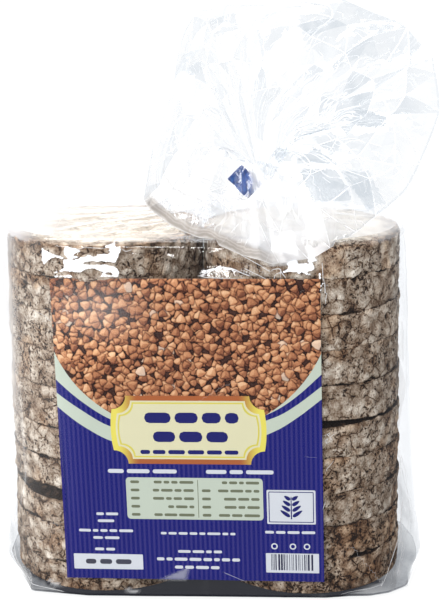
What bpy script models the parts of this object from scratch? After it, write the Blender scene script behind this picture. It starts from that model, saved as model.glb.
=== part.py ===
"""Sealed clear bag of round puffed buckwheat cakes, in two upright stacks.

Metres, +Z up, front towards -Y. The origin is on the surface that the bag
stands on, midway between the two stacks. The bag is one closed solid: the
filled body round both stacks, the pleated shoulders, the gathered neck and
the flared tail of spare film above it. The printed label lies on the front,
and a folded strip of tape holds the neck.
"""

import math

import bmesh
import bpy
from mathutils import Vector

# ---------------------------------------------------------------- sizes (m)
TOUCH_GAP = 0.0003          # between pieces that touch

# sections of the filled body, bottom to top:
# height, half width left, half width right, half depth, corner radius
BODY_SECTIONS = (
    (0.0000, 0.0885, 0.0955, 0.0468, 0.0300),
    (0.0025, 0.0925, 0.1005, 0.0482, 0.0330),
    (0.0100, 0.0940, 0.1030, 0.0484, 0.0360),
    (0.0280, 0.0935, 0.1015, 0.0475, 0.0420),
    (0.0500, 0.0928, 0.0995, 0.0468, 0.0445),
    (0.0800, 0.0925, 0.0980, 0.0465, 0.0450),
    (0.1150, 0.0925, 0.0960, 0.0465, 0.0450),
    (0.1450, 0.0925, 0.0945, 0.0465, 0.0450),
    (0.1560, 0.0920, 0.0930, 0.0463, 0.0448),
    (0.1620, 0.0903, 0.0908, 0.0450, 0.0435),
    (0.1655, 0.0860, 0.0860, 0.0415, 0.0400),
)
FRONT_STEPS = 16            # facets along the front, and along the back
CORNER_STEPS = 8            # facets round each corner
SIDE_STEPS = 2              # facets along each side
RING = 2 * (FRONT_STEPS + 2 * CORNER_STEPS + SIDE_STEPS)

NECK_LOW = (0.0160, 0.0, 0.1772)    # the neck stands right of the middle
NECK_LENGTH = 0.0135
NECK_LEAN = math.radians(44)        # it leans to the right
NECK_R = 0.0038
SHOULDER_RISE = (           # share of the way to the neck, height
    (0.28, 0.1672),
    (0.55, 0.1688),
    (0.78, 0.1708),
    (0.93, 0.1735),
)
SHOULDER_PLEATS = 14
SHOULDER_PLEAT = 0.0009     # depth of the pleats that run to the neck

# rim of the flared tail, counter-clockwise from the right, as steps from
# the tail's root: right, back, up
TAIL_ROOT = (0.0195, 0.0, 0.1905)
TAIL_RIM = (
    (0.0865, -0.0020, 0.0240),
    (0.0840, 0.0120, 0.0470),
    (0.0690, 0.0220, 0.0640),
    (0.0430, 0.0255, 0.0710),
    (0.0080, 0.0245, 0.0710),
    (-0.0210, 0.0160, 0.0685),
    (-0.0320, 0.0010, 0.0480),
    (-0.0385, -0.0130, 0.0240),
    (-0.0425, -0.0260, -0.0080),
    (-0.0300, -0.0360, -0.0160),
    (-0.0080, -0.0460, -0.0240),
    (0.0120, -0.0540, -0.0330),
    (0.0300, -0.0500, -0.0310),
    (0.0500, -0.0370, -0.0210),
    (0.0720, -0.0220, -0.0050),
)
FILM_REACH = 0.100          # film from the neck to the cut edge
TAIL_SLACK = 0.34           # share of the slack film that arches upwards
TAIL_WAVES = 9              # soft waves round the mouth
TAIL_WAVE = 0.0022
TAIL_WALL = 0.0026          # thickness that stands for the crumpled film
TAIL_STEPS = 12             # rings from the neck to the mouth

# label: its corners as (distance along the front from the middle, height)
LABEL_TOP_LEFT = (-0.0650, 0.1482)
LABEL_TOP_RIGHT = (0.0524, 0.1498)
LABEL_LOW_LEFT = (-0.0601, 0.0090)
LABEL_LOW_RIGHT = (0.0567, 0.0086)
LABEL_THICK = 0.0004
LABEL_COLUMNS = 44
LABEL_ROWS = 24

TAPE_WIDE = 0.0090          # width of the strip, along the neck
TAPE_THICK = 0.0005
TAPE_TAB = 0.0045           # the two ends, stuck face to face
TAPE_TAB_TURN = math.radians(196)

COLLECTION = "buckwheat_cakes_bag"


# ------------------------------------------------------------------ helpers
def clear_scene():
    for obj in list(bpy.data.objects):
        bpy.data.objects.remove(obj, do_unlink=True)
    for mesh in list(bpy.data.meshes):
        bpy.data.meshes.remove(mesh)


def material(name, colour, roughness, metallic=0.0):
    mat = bpy.data.materials.new(name)
    mat.use_nodes = True
    shader = mat.node_tree.nodes["Principled BSDF"]
    shader.inputs["Base Color"].default_value = (*colour, 1.0)
    shader.inputs["Roughness"].default_value = roughness
    shader.inputs["Metallic"].default_value = metallic
    return mat


def add_object(name, mesh, mat, collection):
    obj = bpy.data.objects.new(name, mesh)
    mesh.materials.append(mat)
    collection.objects.link(obj)
    return obj


def section_at(z):
    """Left and right half width, half depth and corner radius at a height."""
    for low, high in zip(BODY_SECTIONS, BODY_SECTIONS[1:]):
        if z <= high[0]:
            t = max(0.0, (z - low[0]) / (high[0] - low[0]))
            return tuple(a + (b - a) * t for a, b in zip(low[1:], high[1:]))
    return BODY_SECTIONS[-1][1:]


def outline(left, right, depth, radius):
    """Rounded rectangle, counter-clockwise from the middle of its right side."""
    xr, xl, yb = right - radius, -(left - radius), depth - radius
    corners = (
        ((xr, yb), 0.0),
        ((xl, yb), 0.5 * math.pi),
        ((xl, -yb), math.pi),
        ((xr, -yb), 1.5 * math.pi),
    )
    points = []
    half = SIDE_STEPS // 2
    for k in range(half):
        points.append((right, yb * k / half))
    for n, ((cx, cy), start) in enumerate(corners):
        for k in range(CORNER_STEPS):
            a = start + 0.5 * math.pi * k / CORNER_STEPS
            points.append((cx + radius * math.cos(a), cy + radius * math.sin(a)))
        if n == 0:
            run = [(xr + (xl - xr) * k / FRONT_STEPS, depth) for k in range(FRONT_STEPS)]
        elif n == 1:
            run = [(-left, yb - 2 * yb * k / SIDE_STEPS) for k in range(SIDE_STEPS)]
        elif n == 2:
            run = [(xl + (xr - xl) * k / FRONT_STEPS, -depth) for k in range(FRONT_STEPS)]
        else:
            run = [(right, -yb + yb * k / half) for k in range(half)]
        points.extend(run)
    return points


def smooth_loop(table, t):
    """Closed Catmull-Rom curve through the table's points, t in 0..1."""
    n = len(table)
    pos = (t % 1.0) * n
    i = int(pos) % n
    f = pos - int(pos)
    p0, p1, p2, p3 = (Vector(table[(i + k) % n]) for k in (-1, 0, 1, 2))
    return 0.5 * (
        2 * p1 + (p2 - p0) * f
        + (2 * p0 - 5 * p1 + 4 * p2 - p3) * f * f
        + (3 * p1 - p0 - 3 * p2 + p3) * f ** 3
    )


def neck_point(t, along, radius):
    """Point on the gathered neck: t round it, and a distance up its axis."""
    a = 2 * math.pi * t
    up = Vector((math.sin(NECK_LEAN), 0.0, math.cos(NECK_LEAN)))
    side = Vector((math.cos(NECK_LEAN), 0.0, -math.sin(NECK_LEAN)))
    back = Vector((0.0, 1.0, 0.0))
    return Vector(NECK_LOW) + up * along + (side * math.cos(a) + back * math.sin(a)) * radius


def tail_point(t, s):
    """Point of the tail: t goes round the mouth, s from the neck to its rim."""
    rim = smooth_loop(TAIL_RIM, t)
    rim_turn = math.atan2(rim.y, rim.x)
    neck_turn = 2 * math.pi * t
    swing = (rim_turn - neck_turn + math.pi) % (2 * math.pi) - math.pi
    turn = neck_turn + swing * min(1.0, s * 2.5)
    reach = NECK_R + (math.hypot(rim.x, rim.y) - NECK_R) * s ** 1.15
    slack = max(0.0, FILM_REACH ** 2 - rim.length_squared)
    arch = TAIL_SLACK * math.sqrt(0.375 * slack)
    wave = TAIL_WAVE * math.sin(TAIL_WAVES * 2 * math.pi * t) * s ** 1.5
    up = rim.z * s + (arch * 4 * s * (1 - s)) + wave
    flared = Vector(TAIL_ROOT) + Vector((reach * math.cos(turn), reach * math.sin(turn), up))
    open_ = min(1.0, s / 0.3)
    open_ = open_ * open_ * (3 - 2 * open_)
    gathered = neck_point(t, NECK_LENGTH + 0.02 * s, NECK_R + 0.05 * s)
    return gathered.lerp(flared, open_)


def tail_normal(t, s):
    """Unit normal of the tail, towards the outside of the mouth."""
    d = 0.004
    along = tail_point(t, min(1.0, s + d)) - tail_point(t, max(0.0, s - d))
    round_ = tail_point(t + d, s) - tail_point(t - d, s)
    return round_.cross(along).normalized()


# --------------------------------------------------------------------- bag
def bag_rings():
    """All rings of the bag, from its base to the inside of the tail."""
    rings = []
    for z, left, right, depth, radius in BODY_SECTIONS:
        rings.append([Vector((x, y, z)) for x, y in outline(left, right, depth, radius)])

    top = rings[-1]
    for share, z in SHOULDER_RISE:
        ring = []
        for i, p in enumerate(top):
            a = 2 * math.pi * i / RING
            neck = Vector(NECK_LOW) + Vector((math.cos(a), math.sin(a), 0.0)) * NECK_R
            q = p.lerp(neck, share)
            pleat = SHOULDER_PLEAT * math.sin(SHOULDER_PLEATS * a) * 4 * share * (1 - share)
            ring.append(Vector((q.x, q.y, z + pleat)))
        rings.append(ring)
    for along in (0.0, NECK_LENGTH):
        rings.append([neck_point(i / RING, along, NECK_R) for i in range(RING)])

    outside, inside = [], []
    for k in range(1, TAIL_STEPS + 1):
        s = k / TAIL_STEPS
        out_ring = [tail_point(i / RING, s) for i in range(RING)]
        outside.append(out_ring)
        wall = TAIL_WALL * min(1.0, 0.55 + s)
        inside.append([
            p - tail_normal(i / RING, s) * wall for i, p in enumerate(out_ring)
        ])
    rings.extend(outside)
    rings.extend(reversed(inside))
    return rings


def make_bag(collection):
    bm = bmesh.new()
    loops = [[bm.verts.new(p) for p in ring] for ring in bag_rings()]
    for low, high in zip(loops, loops[1:]):
        for i in range(RING):
            j = (i + 1) % RING
            bm.faces.new((low[i], low[j], high[j], high[i]))
    bm.faces.new(list(reversed(loops[0])))
    tip = bm.verts.new(sum((v.co for v in loops[-1]), Vector()) / RING)
    for i in range(RING):
        bm.faces.new((loops[-1][i], loops[-1][(i + 1) % RING], tip))
    bmesh.ops.recalc_face_normals(bm, faces=bm.faces[:])
    mesh = bpy.data.meshes.new("bag")
    bm.to_mesh(mesh)
    bm.free()
    mesh.shade_smooth()
    film = material("clear film over puffed cakes", (0.53, 0.46, 0.37), 0.22)
    return add_object("bag", mesh, film, collection)


# ------------------------------------------------------------------- label
def front_point(run, z, lift):
    """Point on the bag's front, a distance along it, lifted off its face."""
    left, right, depth, radius = section_at(z)
    side = -1.0 if run < 0 else 1.0
    straight = (left if run < 0 else right) - radius
    over = abs(run) - straight
    if over <= 0:
        return Vector((run, -depth - lift, z))
    a = over / radius
    return Vector((
        side * (straight + (radius + lift) * math.sin(a)),
        -(depth - radius) - (radius + lift) * math.cos(a),
        z,
    ))


def make_label(collection):
    bm = bmesh.new()
    bmesh.ops.create_grid(bm, x_segments=LABEL_COLUMNS, y_segments=LABEL_ROWS, size=0.5)
    for v in bm.verts:
        across, up = v.co.x + 0.5, v.co.y + 0.5
        low = [a + (b - a) * across for a, b in zip(LABEL_LOW_LEFT, LABEL_LOW_RIGHT)]
        high = [a + (b - a) * across for a, b in zip(LABEL_TOP_LEFT, LABEL_TOP_RIGHT)]
        run = low[0] + (high[0] - low[0]) * up
        z = low[1] + (high[1] - low[1]) * up
        v.co = front_point(run, z, TOUCH_GAP + 0.5 * LABEL_THICK)
    bmesh.ops.recalc_face_normals(bm, faces=bm.faces[:])
    mesh = bpy.data.meshes.new("label")
    bm.to_mesh(mesh)
    bm.free()
    mesh.shade_smooth()
    paper = material("printed paper", (0.035, 0.035, 0.24), 0.35)
    obj = add_object("label", mesh, paper, collection)
    sheet = obj.modifiers.new("thickness", "SOLIDIFY")
    sheet.thickness = LABEL_THICK
    sheet.offset = 0.0
    return obj


# --------------------------------------------------------------- neck tape
def make_tape(collection):
    """A strip once round the neck, its two ends stuck together as a tab."""
    radius = NECK_R + TOUCH_GAP + 0.5 * TAPE_THICK
    apart = 0.5 * TAPE_THICK + 0.5 * TOUCH_GAP
    leave = math.asin(apart / radius)
    steps = 28
    path = [(radius * math.cos(leave) + TAPE_TAB, apart)]
    for k in range(steps + 1):
        a = leave + (2 * math.pi - 2 * leave) * k / steps
        path.append((radius * math.cos(a), radius * math.sin(a)))
    path.append((radius * math.cos(leave) + TAPE_TAB, -apart))

    bm = bmesh.new()
    low = [bm.verts.new((x, y, -0.5 * TAPE_WIDE)) for x, y in path]
    edges = [bm.edges.new(pair) for pair in zip(low, low[1:])]
    made = bmesh.ops.extrude_edge_only(bm, edges=edges)["geom"]
    for v in made:
        if isinstance(v, bmesh.types.BMVert):
            v.co.z += TAPE_WIDE
    bmesh.ops.recalc_face_normals(bm, faces=bm.faces[:])
    mesh = bpy.data.meshes.new("neck_tape")
    bm.to_mesh(mesh)
    bm.free()
    mesh.shade_smooth()
    blue = material("blue tape", (0.03, 0.09, 0.34), 0.3)
    obj = add_object("neck_tape", mesh, blue, collection)
    obj.location = neck_point(0.0, 0.5 * NECK_LENGTH, 0.0)
    obj.rotation_mode = "ZYX"
    obj.rotation_euler = (0.0, NECK_LEAN, TAPE_TAB_TURN)
    strip = obj.modifiers.new("thickness", "SOLIDIFY")
    strip.thickness = TAPE_THICK
    strip.offset = 0.0
    strip.use_even_offset = True
    return obj


def main():
    clear_scene()
    collection = bpy.data.collections.new(COLLECTION)
    bpy.context.scene.collection.children.link(collection)
    make_bag(collection)
    make_label(collection)
    make_tape(collection)


main()
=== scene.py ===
import math

import bpy
import numpy as np
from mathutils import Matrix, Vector, geometry


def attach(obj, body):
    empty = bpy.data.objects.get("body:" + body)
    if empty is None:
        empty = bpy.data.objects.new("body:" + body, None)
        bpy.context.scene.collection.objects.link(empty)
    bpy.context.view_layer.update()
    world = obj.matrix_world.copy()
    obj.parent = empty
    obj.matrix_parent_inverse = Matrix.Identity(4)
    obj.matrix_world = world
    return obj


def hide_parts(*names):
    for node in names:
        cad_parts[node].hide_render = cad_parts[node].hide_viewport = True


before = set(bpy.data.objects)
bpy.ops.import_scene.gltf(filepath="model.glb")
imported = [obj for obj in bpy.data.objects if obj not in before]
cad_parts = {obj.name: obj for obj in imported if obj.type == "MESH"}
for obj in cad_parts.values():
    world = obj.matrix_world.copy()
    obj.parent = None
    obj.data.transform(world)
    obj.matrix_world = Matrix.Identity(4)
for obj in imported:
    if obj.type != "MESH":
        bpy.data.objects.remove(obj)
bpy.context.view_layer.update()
scene = bpy.context.scene

# ------------------------------------------------------------------ sizes (m)
MM = 0.001
CAKE_R = 45.2               # in mm, as all the tables below
LEFT_X = -44.9
RIGHT_X = 44.7
LEAN = 4.0                  # the right stack's foot stands this far out

# cakes from the bottom up: height of the underside and of the top face at the
# stack's axis, tilt about X and Y in degrees, shift in X and Y
LEFT_CAKES = (
    (0.4, 13.3, 0.0, 0.6, 0.2, 0.1),
    (13.4, 30.5, 0.2, 1.0, -0.4, -0.2),
    (30.6, 44.4, 0.2, 1.7, 0.5, 0.1),
    (49.0, 63.5, 0.4, -1.0, -0.2, -0.3),
    (63.6, 78.5, 0.0, -0.6, 0.4, 0.2),
    (78.6, 96.9, 0.2, -0.3, -0.4, 0.0),
    (97.0, 114.2, -0.1, 0.2, 0.3, -0.3),
    (114.3, 132.4, 0.2, 0.1, -0.4, 0.2),
    (132.5, 147.4, -0.1, -0.2, 0.3, -0.2),
    (147.5, 163.8, 0.1, 0.2, -0.1, 0.0),
)
RIGHT_CAKES = (
    (0.4, 17.7, 0.0, 0.5, 0.3, 0.1),
    (17.8, 33.3, -1.0, 2.2, -0.3, -0.2),
    (33.4, 49.7, -0.7, 2.4, 0.4, 0.1),
    (49.8, 65.9, -0.5, 2.2, -0.3, -0.3),
    (66.0, 82.5, -0.3, 1.9, 0.2, 0.2),
    (83.1, 100.1, 0.1, 0.9, 0.4, -0.1),
    (100.2, 116.8, 0.0, 0.3, -0.3, 0.1),
    (116.9, 133.0, 0.1, -0.2, 0.3, -0.2),
    (133.1, 148.8, -0.1, 0.2, -0.2, 0.2),
    (148.9, 163.8, 0.1, -0.1, 0.1, 0.0),
)

# the film round the stacks: height, half width left and right, half depth,
# corner radius
FILM_SECTIONS = np.array((
    (0.6, 89.5, 97.5, 47.0, 31.0),
    (2.5, 92.4, 100.8, 48.0, 33.0),
    (10.0, 93.8, 103.2, 48.1, 36.0),
    (28.0, 93.3, 101.6, 47.3, 42.0),
    (50.0, 92.6, 99.6, 46.7, 44.5),
    (80.0, 92.3, 98.0, 46.4, 45.0),
    (115.0, 92.3, 96.1, 46.4, 45.0),
    (145.0, 92.3, 94.6, 46.4, 45.0),
    (158.0, 92.1, 93.2, 46.3, 44.9),
    (163.2, 91.6, 92.0, 46.0, 44.5),
    (165.2, 90.2, 90.4, 44.8, 43.2),
    (166.1, 87.6, 87.8, 42.4, 40.8),
))
NECK_LOW = np.array((16.0, 0.0, 177.2))
NECK_LENGTH = 13.5
NECK_LEAN = math.radians(44)
NECK_R = 3.6
SHOULDER_RISE = np.array(((0.0, 166.1), (0.28, 167.2), (0.55, 168.8), (0.78, 170.8), (0.93, 173.5), (1.0, 178.6)))

TAIL_ROOT = np.array((19.5, 0.0, 190.5))
TAIL_RIM = np.array((
    (86.5, -2.0, 24.0), (84.0, 12.0, 47.0), (69.0, 22.0, 64.0),
    (43.0, 25.5, 71.0), (8.0, 24.5, 71.0), (-21.0, 16.0, 68.5),
    (-32.0, 1.0, 48.0), (-38.5, -13.0, 24.0), (-43.0, -27.0, -11.0),
    (-31.5, -37.0, -20.0), (-9.0, -47.0, -27.0), (12.0, -54.0, -33.0),
    (30.0, -50.0, -31.0), (50.0, -37.0, -21.0), (72.0, -22.0, -5.0),
))
FILM_REACH = 100.0
TAIL_SLACK = 0.34

# the label's sheet is 118 by 142 mm; corners as distance along the front
# from the middle, and height
LABEL_W, LABEL_H = 118.0, 142.0
LABEL_CORNERS = ((-60.1, 9.0), (56.7, 8.6), (-65.0, 148.2), (52.4, 149.8))
LABEL_LIFT = 0.30
LABEL_THICK = 0.35


# ------------------------------------------------------------ mesh helpers
def mesh_from(name, points, faces):
    """A mesh from points in mm; it is stored in metres."""
    mesh = bpy.data.meshes.new(name)
    points = np.asarray(points, float) * MM
    mesh.from_pydata(points.tolist(), [], [list(map(int, f)) for f in faces])
    mesh.update()
    return mesh


def grid_faces(rows, cols, wrap=True, start=0):
    i = np.arange(rows - 1)[:, None] * cols
    j = np.arange(cols if wrap else cols - 1)[None, :]
    n = (j + 1) % cols
    quads = np.stack([i + j, i + n, i + cols + n, i + cols + j], -1).reshape(-1, 4)
    return (quads + start).tolist()


def link(name, mesh, material, smooth=True):
    obj = bpy.data.objects.new(name, mesh)
    scene.collection.objects.link(obj)
    if material is not None:
        mesh.materials.append(material)
    if smooth:
        mesh.shade_smooth()
    return obj


def attribute(mesh, name, kind, values, domain="POINT"):
    values = np.asarray(values, np.float32)
    if kind == "FLOAT_COLOR":
        layer = mesh.color_attributes.new(name, kind, domain)
        layer.data.foreach_set("color", values.ravel())
    else:
        layer = mesh.attributes.new(name, kind, domain)
        layer.data.foreach_set("vector" if kind == "FLOAT_VECTOR" else "value", values.ravel())


def smoothstep(a, b, x):
    t = np.clip((x - a) / (b - a), 0.0, 1.0)
    return t * t * (3 - 2 * t)


class Noise:
    """Smooth value noise in two or three dimensions, from a seeded lattice."""

    def __init__(self, seed, size=32):
        self.table = np.random.default_rng(seed).uniform(-1, 1, (size, size, size))
        self.size = size

    def __call__(self, p, scale):
        p = np.asarray(p, float) * scale
        if p.shape[-1] == 2:
            p = np.concatenate([p, np.zeros(p.shape[:-1] + (1,))], -1)
        base = np.floor(p).astype(int)
        f = p - base
        f = f * f * (3 - 2 * f)
        total = 0
        for dx in (0, 1):
            for dy in (0, 1):
                for dz in (0, 1):
                    w = ((f[..., 0] if dx else 1 - f[..., 0])
                         * (f[..., 1] if dy else 1 - f[..., 1])
                         * (f[..., 2] if dz else 1 - f[..., 2]))
                    total = total + w * self.table[(base[..., 0] + dx) % self.size,
                                                   (base[..., 1] + dy) % self.size,
                                                   (base[..., 2] + dz) % self.size]
        return total


# ----------------------------------------------------------- node helpers
def new_material(name):
    mat = bpy.data.materials.new(name)
    mat.use_nodes = True
    tree = mat.node_tree
    tree.nodes.clear()
    out = tree.nodes.new("ShaderNodeOutputMaterial")
    return mat, tree, out


def node(tree, kind, values=None, **props):
    n = tree.nodes.new(kind)
    for key, value in props.items():
        setattr(n, key, value)
    for key, value in (values or {}).items():
        if hasattr(value, "is_output"):
            tree.links.new(value, n.inputs[key])
        else:
            n.inputs[key].default_value = value
    return n


def ramp(tree, source, stops, interpolation="LINEAR"):
    n = tree.nodes.new("ShaderNodeValToRGB")
    n.color_ramp.interpolation = interpolation
    els = n.color_ramp.elements
    while len(els) < len(stops):
        els.new(0.5)
    for el, (pos, col) in zip(els, stops):
        el.position = pos
        el.color = (*col, 1.0) if len(col) == 3 else col
    tree.links.new(source, n.inputs["Fac"])
    return n.outputs["Color"]


def mix(tree, fac, a, b, blend="MIX"):
    n = tree.nodes.new("ShaderNodeMix")
    n.data_type = "RGBA"
    n.blend_type = blend
    for key, value in ((0, fac), (6, a), (7, b)):
        if isinstance(value, (int, float)):
            n.inputs[key].default_value = value
        elif isinstance(value, tuple):
            n.inputs[key].default_value = (*value, 1.0)
        else:
            tree.links.new(value, n.inputs[key])
    return n.outputs[2]


def calc(tree, operation, a, b=0.0, c=None, clamp=False):
    n = tree.nodes.new("ShaderNodeMath")
    n.operation = operation
    n.use_clamp = clamp
    for i, value in enumerate((a, b) if c is None else (a, b, c)):
        if isinstance(value, (int, float)):
            n.inputs[i].default_value = value
        else:
            tree.links.new(value, n.inputs[i])
    return n.outputs[0]


def vec(tree, operation, a, b=(0.0, 0.0, 0.0), c=None):
    """Vector maths; a dot product or a length comes back as a number."""
    n = tree.nodes.new("ShaderNodeVectorMath")
    n.operation = operation
    for i, value in enumerate((a, b) if c is None else (a, b, c)):
        if isinstance(value, tuple):
            n.inputs[i].default_value = value
        else:
            tree.links.new(value, n.inputs[i])
    return n.outputs["Value" if operation in ("DOT_PRODUCT", "LENGTH", "DISTANCE") else "Vector"]


def step(tree, value, a, b, low=0.0, high=1.0, smooth=True):
    n = tree.nodes.new("ShaderNodeMapRange")
    n.interpolation_type = "SMOOTHSTEP" if smooth else "LINEAR"
    for key, v in (("From Min", a), ("From Max", b), ("To Min", low), ("To Max", high)):
        if isinstance(v, (int, float)):
            n.inputs[key].default_value = v
        else:
            tree.links.new(v, n.inputs[key])
    tree.links.new(value, n.inputs["Value"])
    return n.outputs["Result"]


def part_of(tree, colour, axis):
    """One channel of a colour, in shader and geometry nodes alike."""
    return vec(tree, "DOT_PRODUCT", colour, tuple(1.0 if k == axis else 0.0 for k in range(3)))


# ------------------------------------------------------------------- cakes
def grain_pattern(t, coord):
    """The puffed grains: the same pattern drives the relief and the colour."""
    wide = node(t, "ShaderNodeTexNoise", {"Vector": coord, "Scale": 125.0, "Detail": 2.0})
    close = node(t, "ShaderNodeTexNoise", {"Vector": coord, "Scale": 520.0, "Detail": 2.0})
    moved = vec(t, "MULTIPLY_ADD", wide.outputs["Color"], (0.0026, 0.0026, 0.0026), coord)
    moved = vec(t, "MULTIPLY_ADD", close.outputs["Color"], (0.0010, 0.0010, 0.0010), moved)
    big = node(t, "ShaderNodeTexVoronoi", {"Vector": moved, "Scale": 172.0})
    big_edge = node(t, "ShaderNodeTexVoronoi", {"Vector": moved, "Scale": 172.0}, feature="DISTANCE_TO_EDGE")
    small = node(t, "ShaderNodeTexVoronoi", {"Vector": moved, "Scale": 320.0})
    patch = node(t, "ShaderNodeTexNoise", {"Vector": coord, "Scale": 75.0, "Detail": 2.0, "Roughness": 0.6})
    return {
        "big": big.outputs["Distance"], "big_rand": big.outputs["Color"],
        "big_edge": big_edge.outputs["Distance"],
        "small": small.outputs["Distance"], "small_rand": small.outputs["Color"],
        "patch": patch.outputs["Fac"], "moved": moved,
        # where few large grains show, small ones fill in
        "fine_zone": step(t, patch.outputs["Fac"], 0.47, 0.62),
        "big_dome": step(t, big.outputs["Distance"], 0.66, 0.10),
        "small_dome": step(t, small.outputs["Distance"], 0.66, 0.12),
    }


def relief_tree():
    """Geometry nodes that raise the grains from a cake's smooth surface."""
    t = bpy.data.node_groups.new("grain_relief", "GeometryNodeTree")
    t.interface.new_socket("Geometry", in_out="INPUT", socket_type="NodeSocketGeometry")
    t.interface.new_socket("Geometry", in_out="OUTPUT", socket_type="NodeSocketGeometry")
    start = t.nodes.new("NodeGroupInput")
    end = t.nodes.new("NodeGroupOutput")
    reads = {}
    for name, kind in (("cell", "FLOAT_VECTOR"), ("out", "FLOAT_VECTOR"), ("relief", "FLOAT")):
        n = t.nodes.new("GeometryNodeInputNamedAttribute")
        n.data_type = kind
        n.inputs["Name"].default_value = name
        reads[name] = [o for o in n.outputs if o.enabled and o.name == "Attribute"][0]
    g = grain_pattern(t, reads["cell"])
    rand = part_of(t, g["big_rand"], 0)
    lift = calc(t, "MULTIPLY", g["big_dome"], calc(t, "MULTIPLY_ADD", rand, 0.00075, 0.00005))
    lift = calc(t, "MULTIPLY", lift, calc(t, "MULTIPLY_ADD", g["fine_zone"], -0.75, 1.0))
    fine = calc(t, "MULTIPLY", g["small_dome"], calc(t, "MULTIPLY_ADD", g["fine_zone"], 0.00020, 0.00006))
    rough = node(t, "ShaderNodeTexNoise", {"Vector": reads["cell"], "Scale": 420.0, "Detail": 3.0, "Roughness": 0.65})
    h = calc(t, "ADD", lift, fine)
    h = calc(t, "MULTIPLY_ADD", calc(t, "SUBTRACT", rough.outputs["Fac"], 0.5), 0.0013, h)
    h = calc(t, "SUBTRACT", h, 0.00045)
    h = calc(t, "MINIMUM", h, 0.00035)
    h = calc(t, "MULTIPLY", h, reads["relief"])
    scale = t.nodes.new("ShaderNodeVectorMath")
    scale.operation = "SCALE"
    t.links.new(reads["out"], scale.inputs[0])
    t.links.new(h, scale.inputs["Scale"])
    place = t.nodes.new("GeometryNodeSetPosition")
    t.links.new(start.outputs[0], place.inputs["Geometry"])
    t.links.new(scale.outputs["Vector"], place.inputs["Offset"])
    t.links.new(place.outputs["Geometry"], end.inputs[0])
    return t


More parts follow.
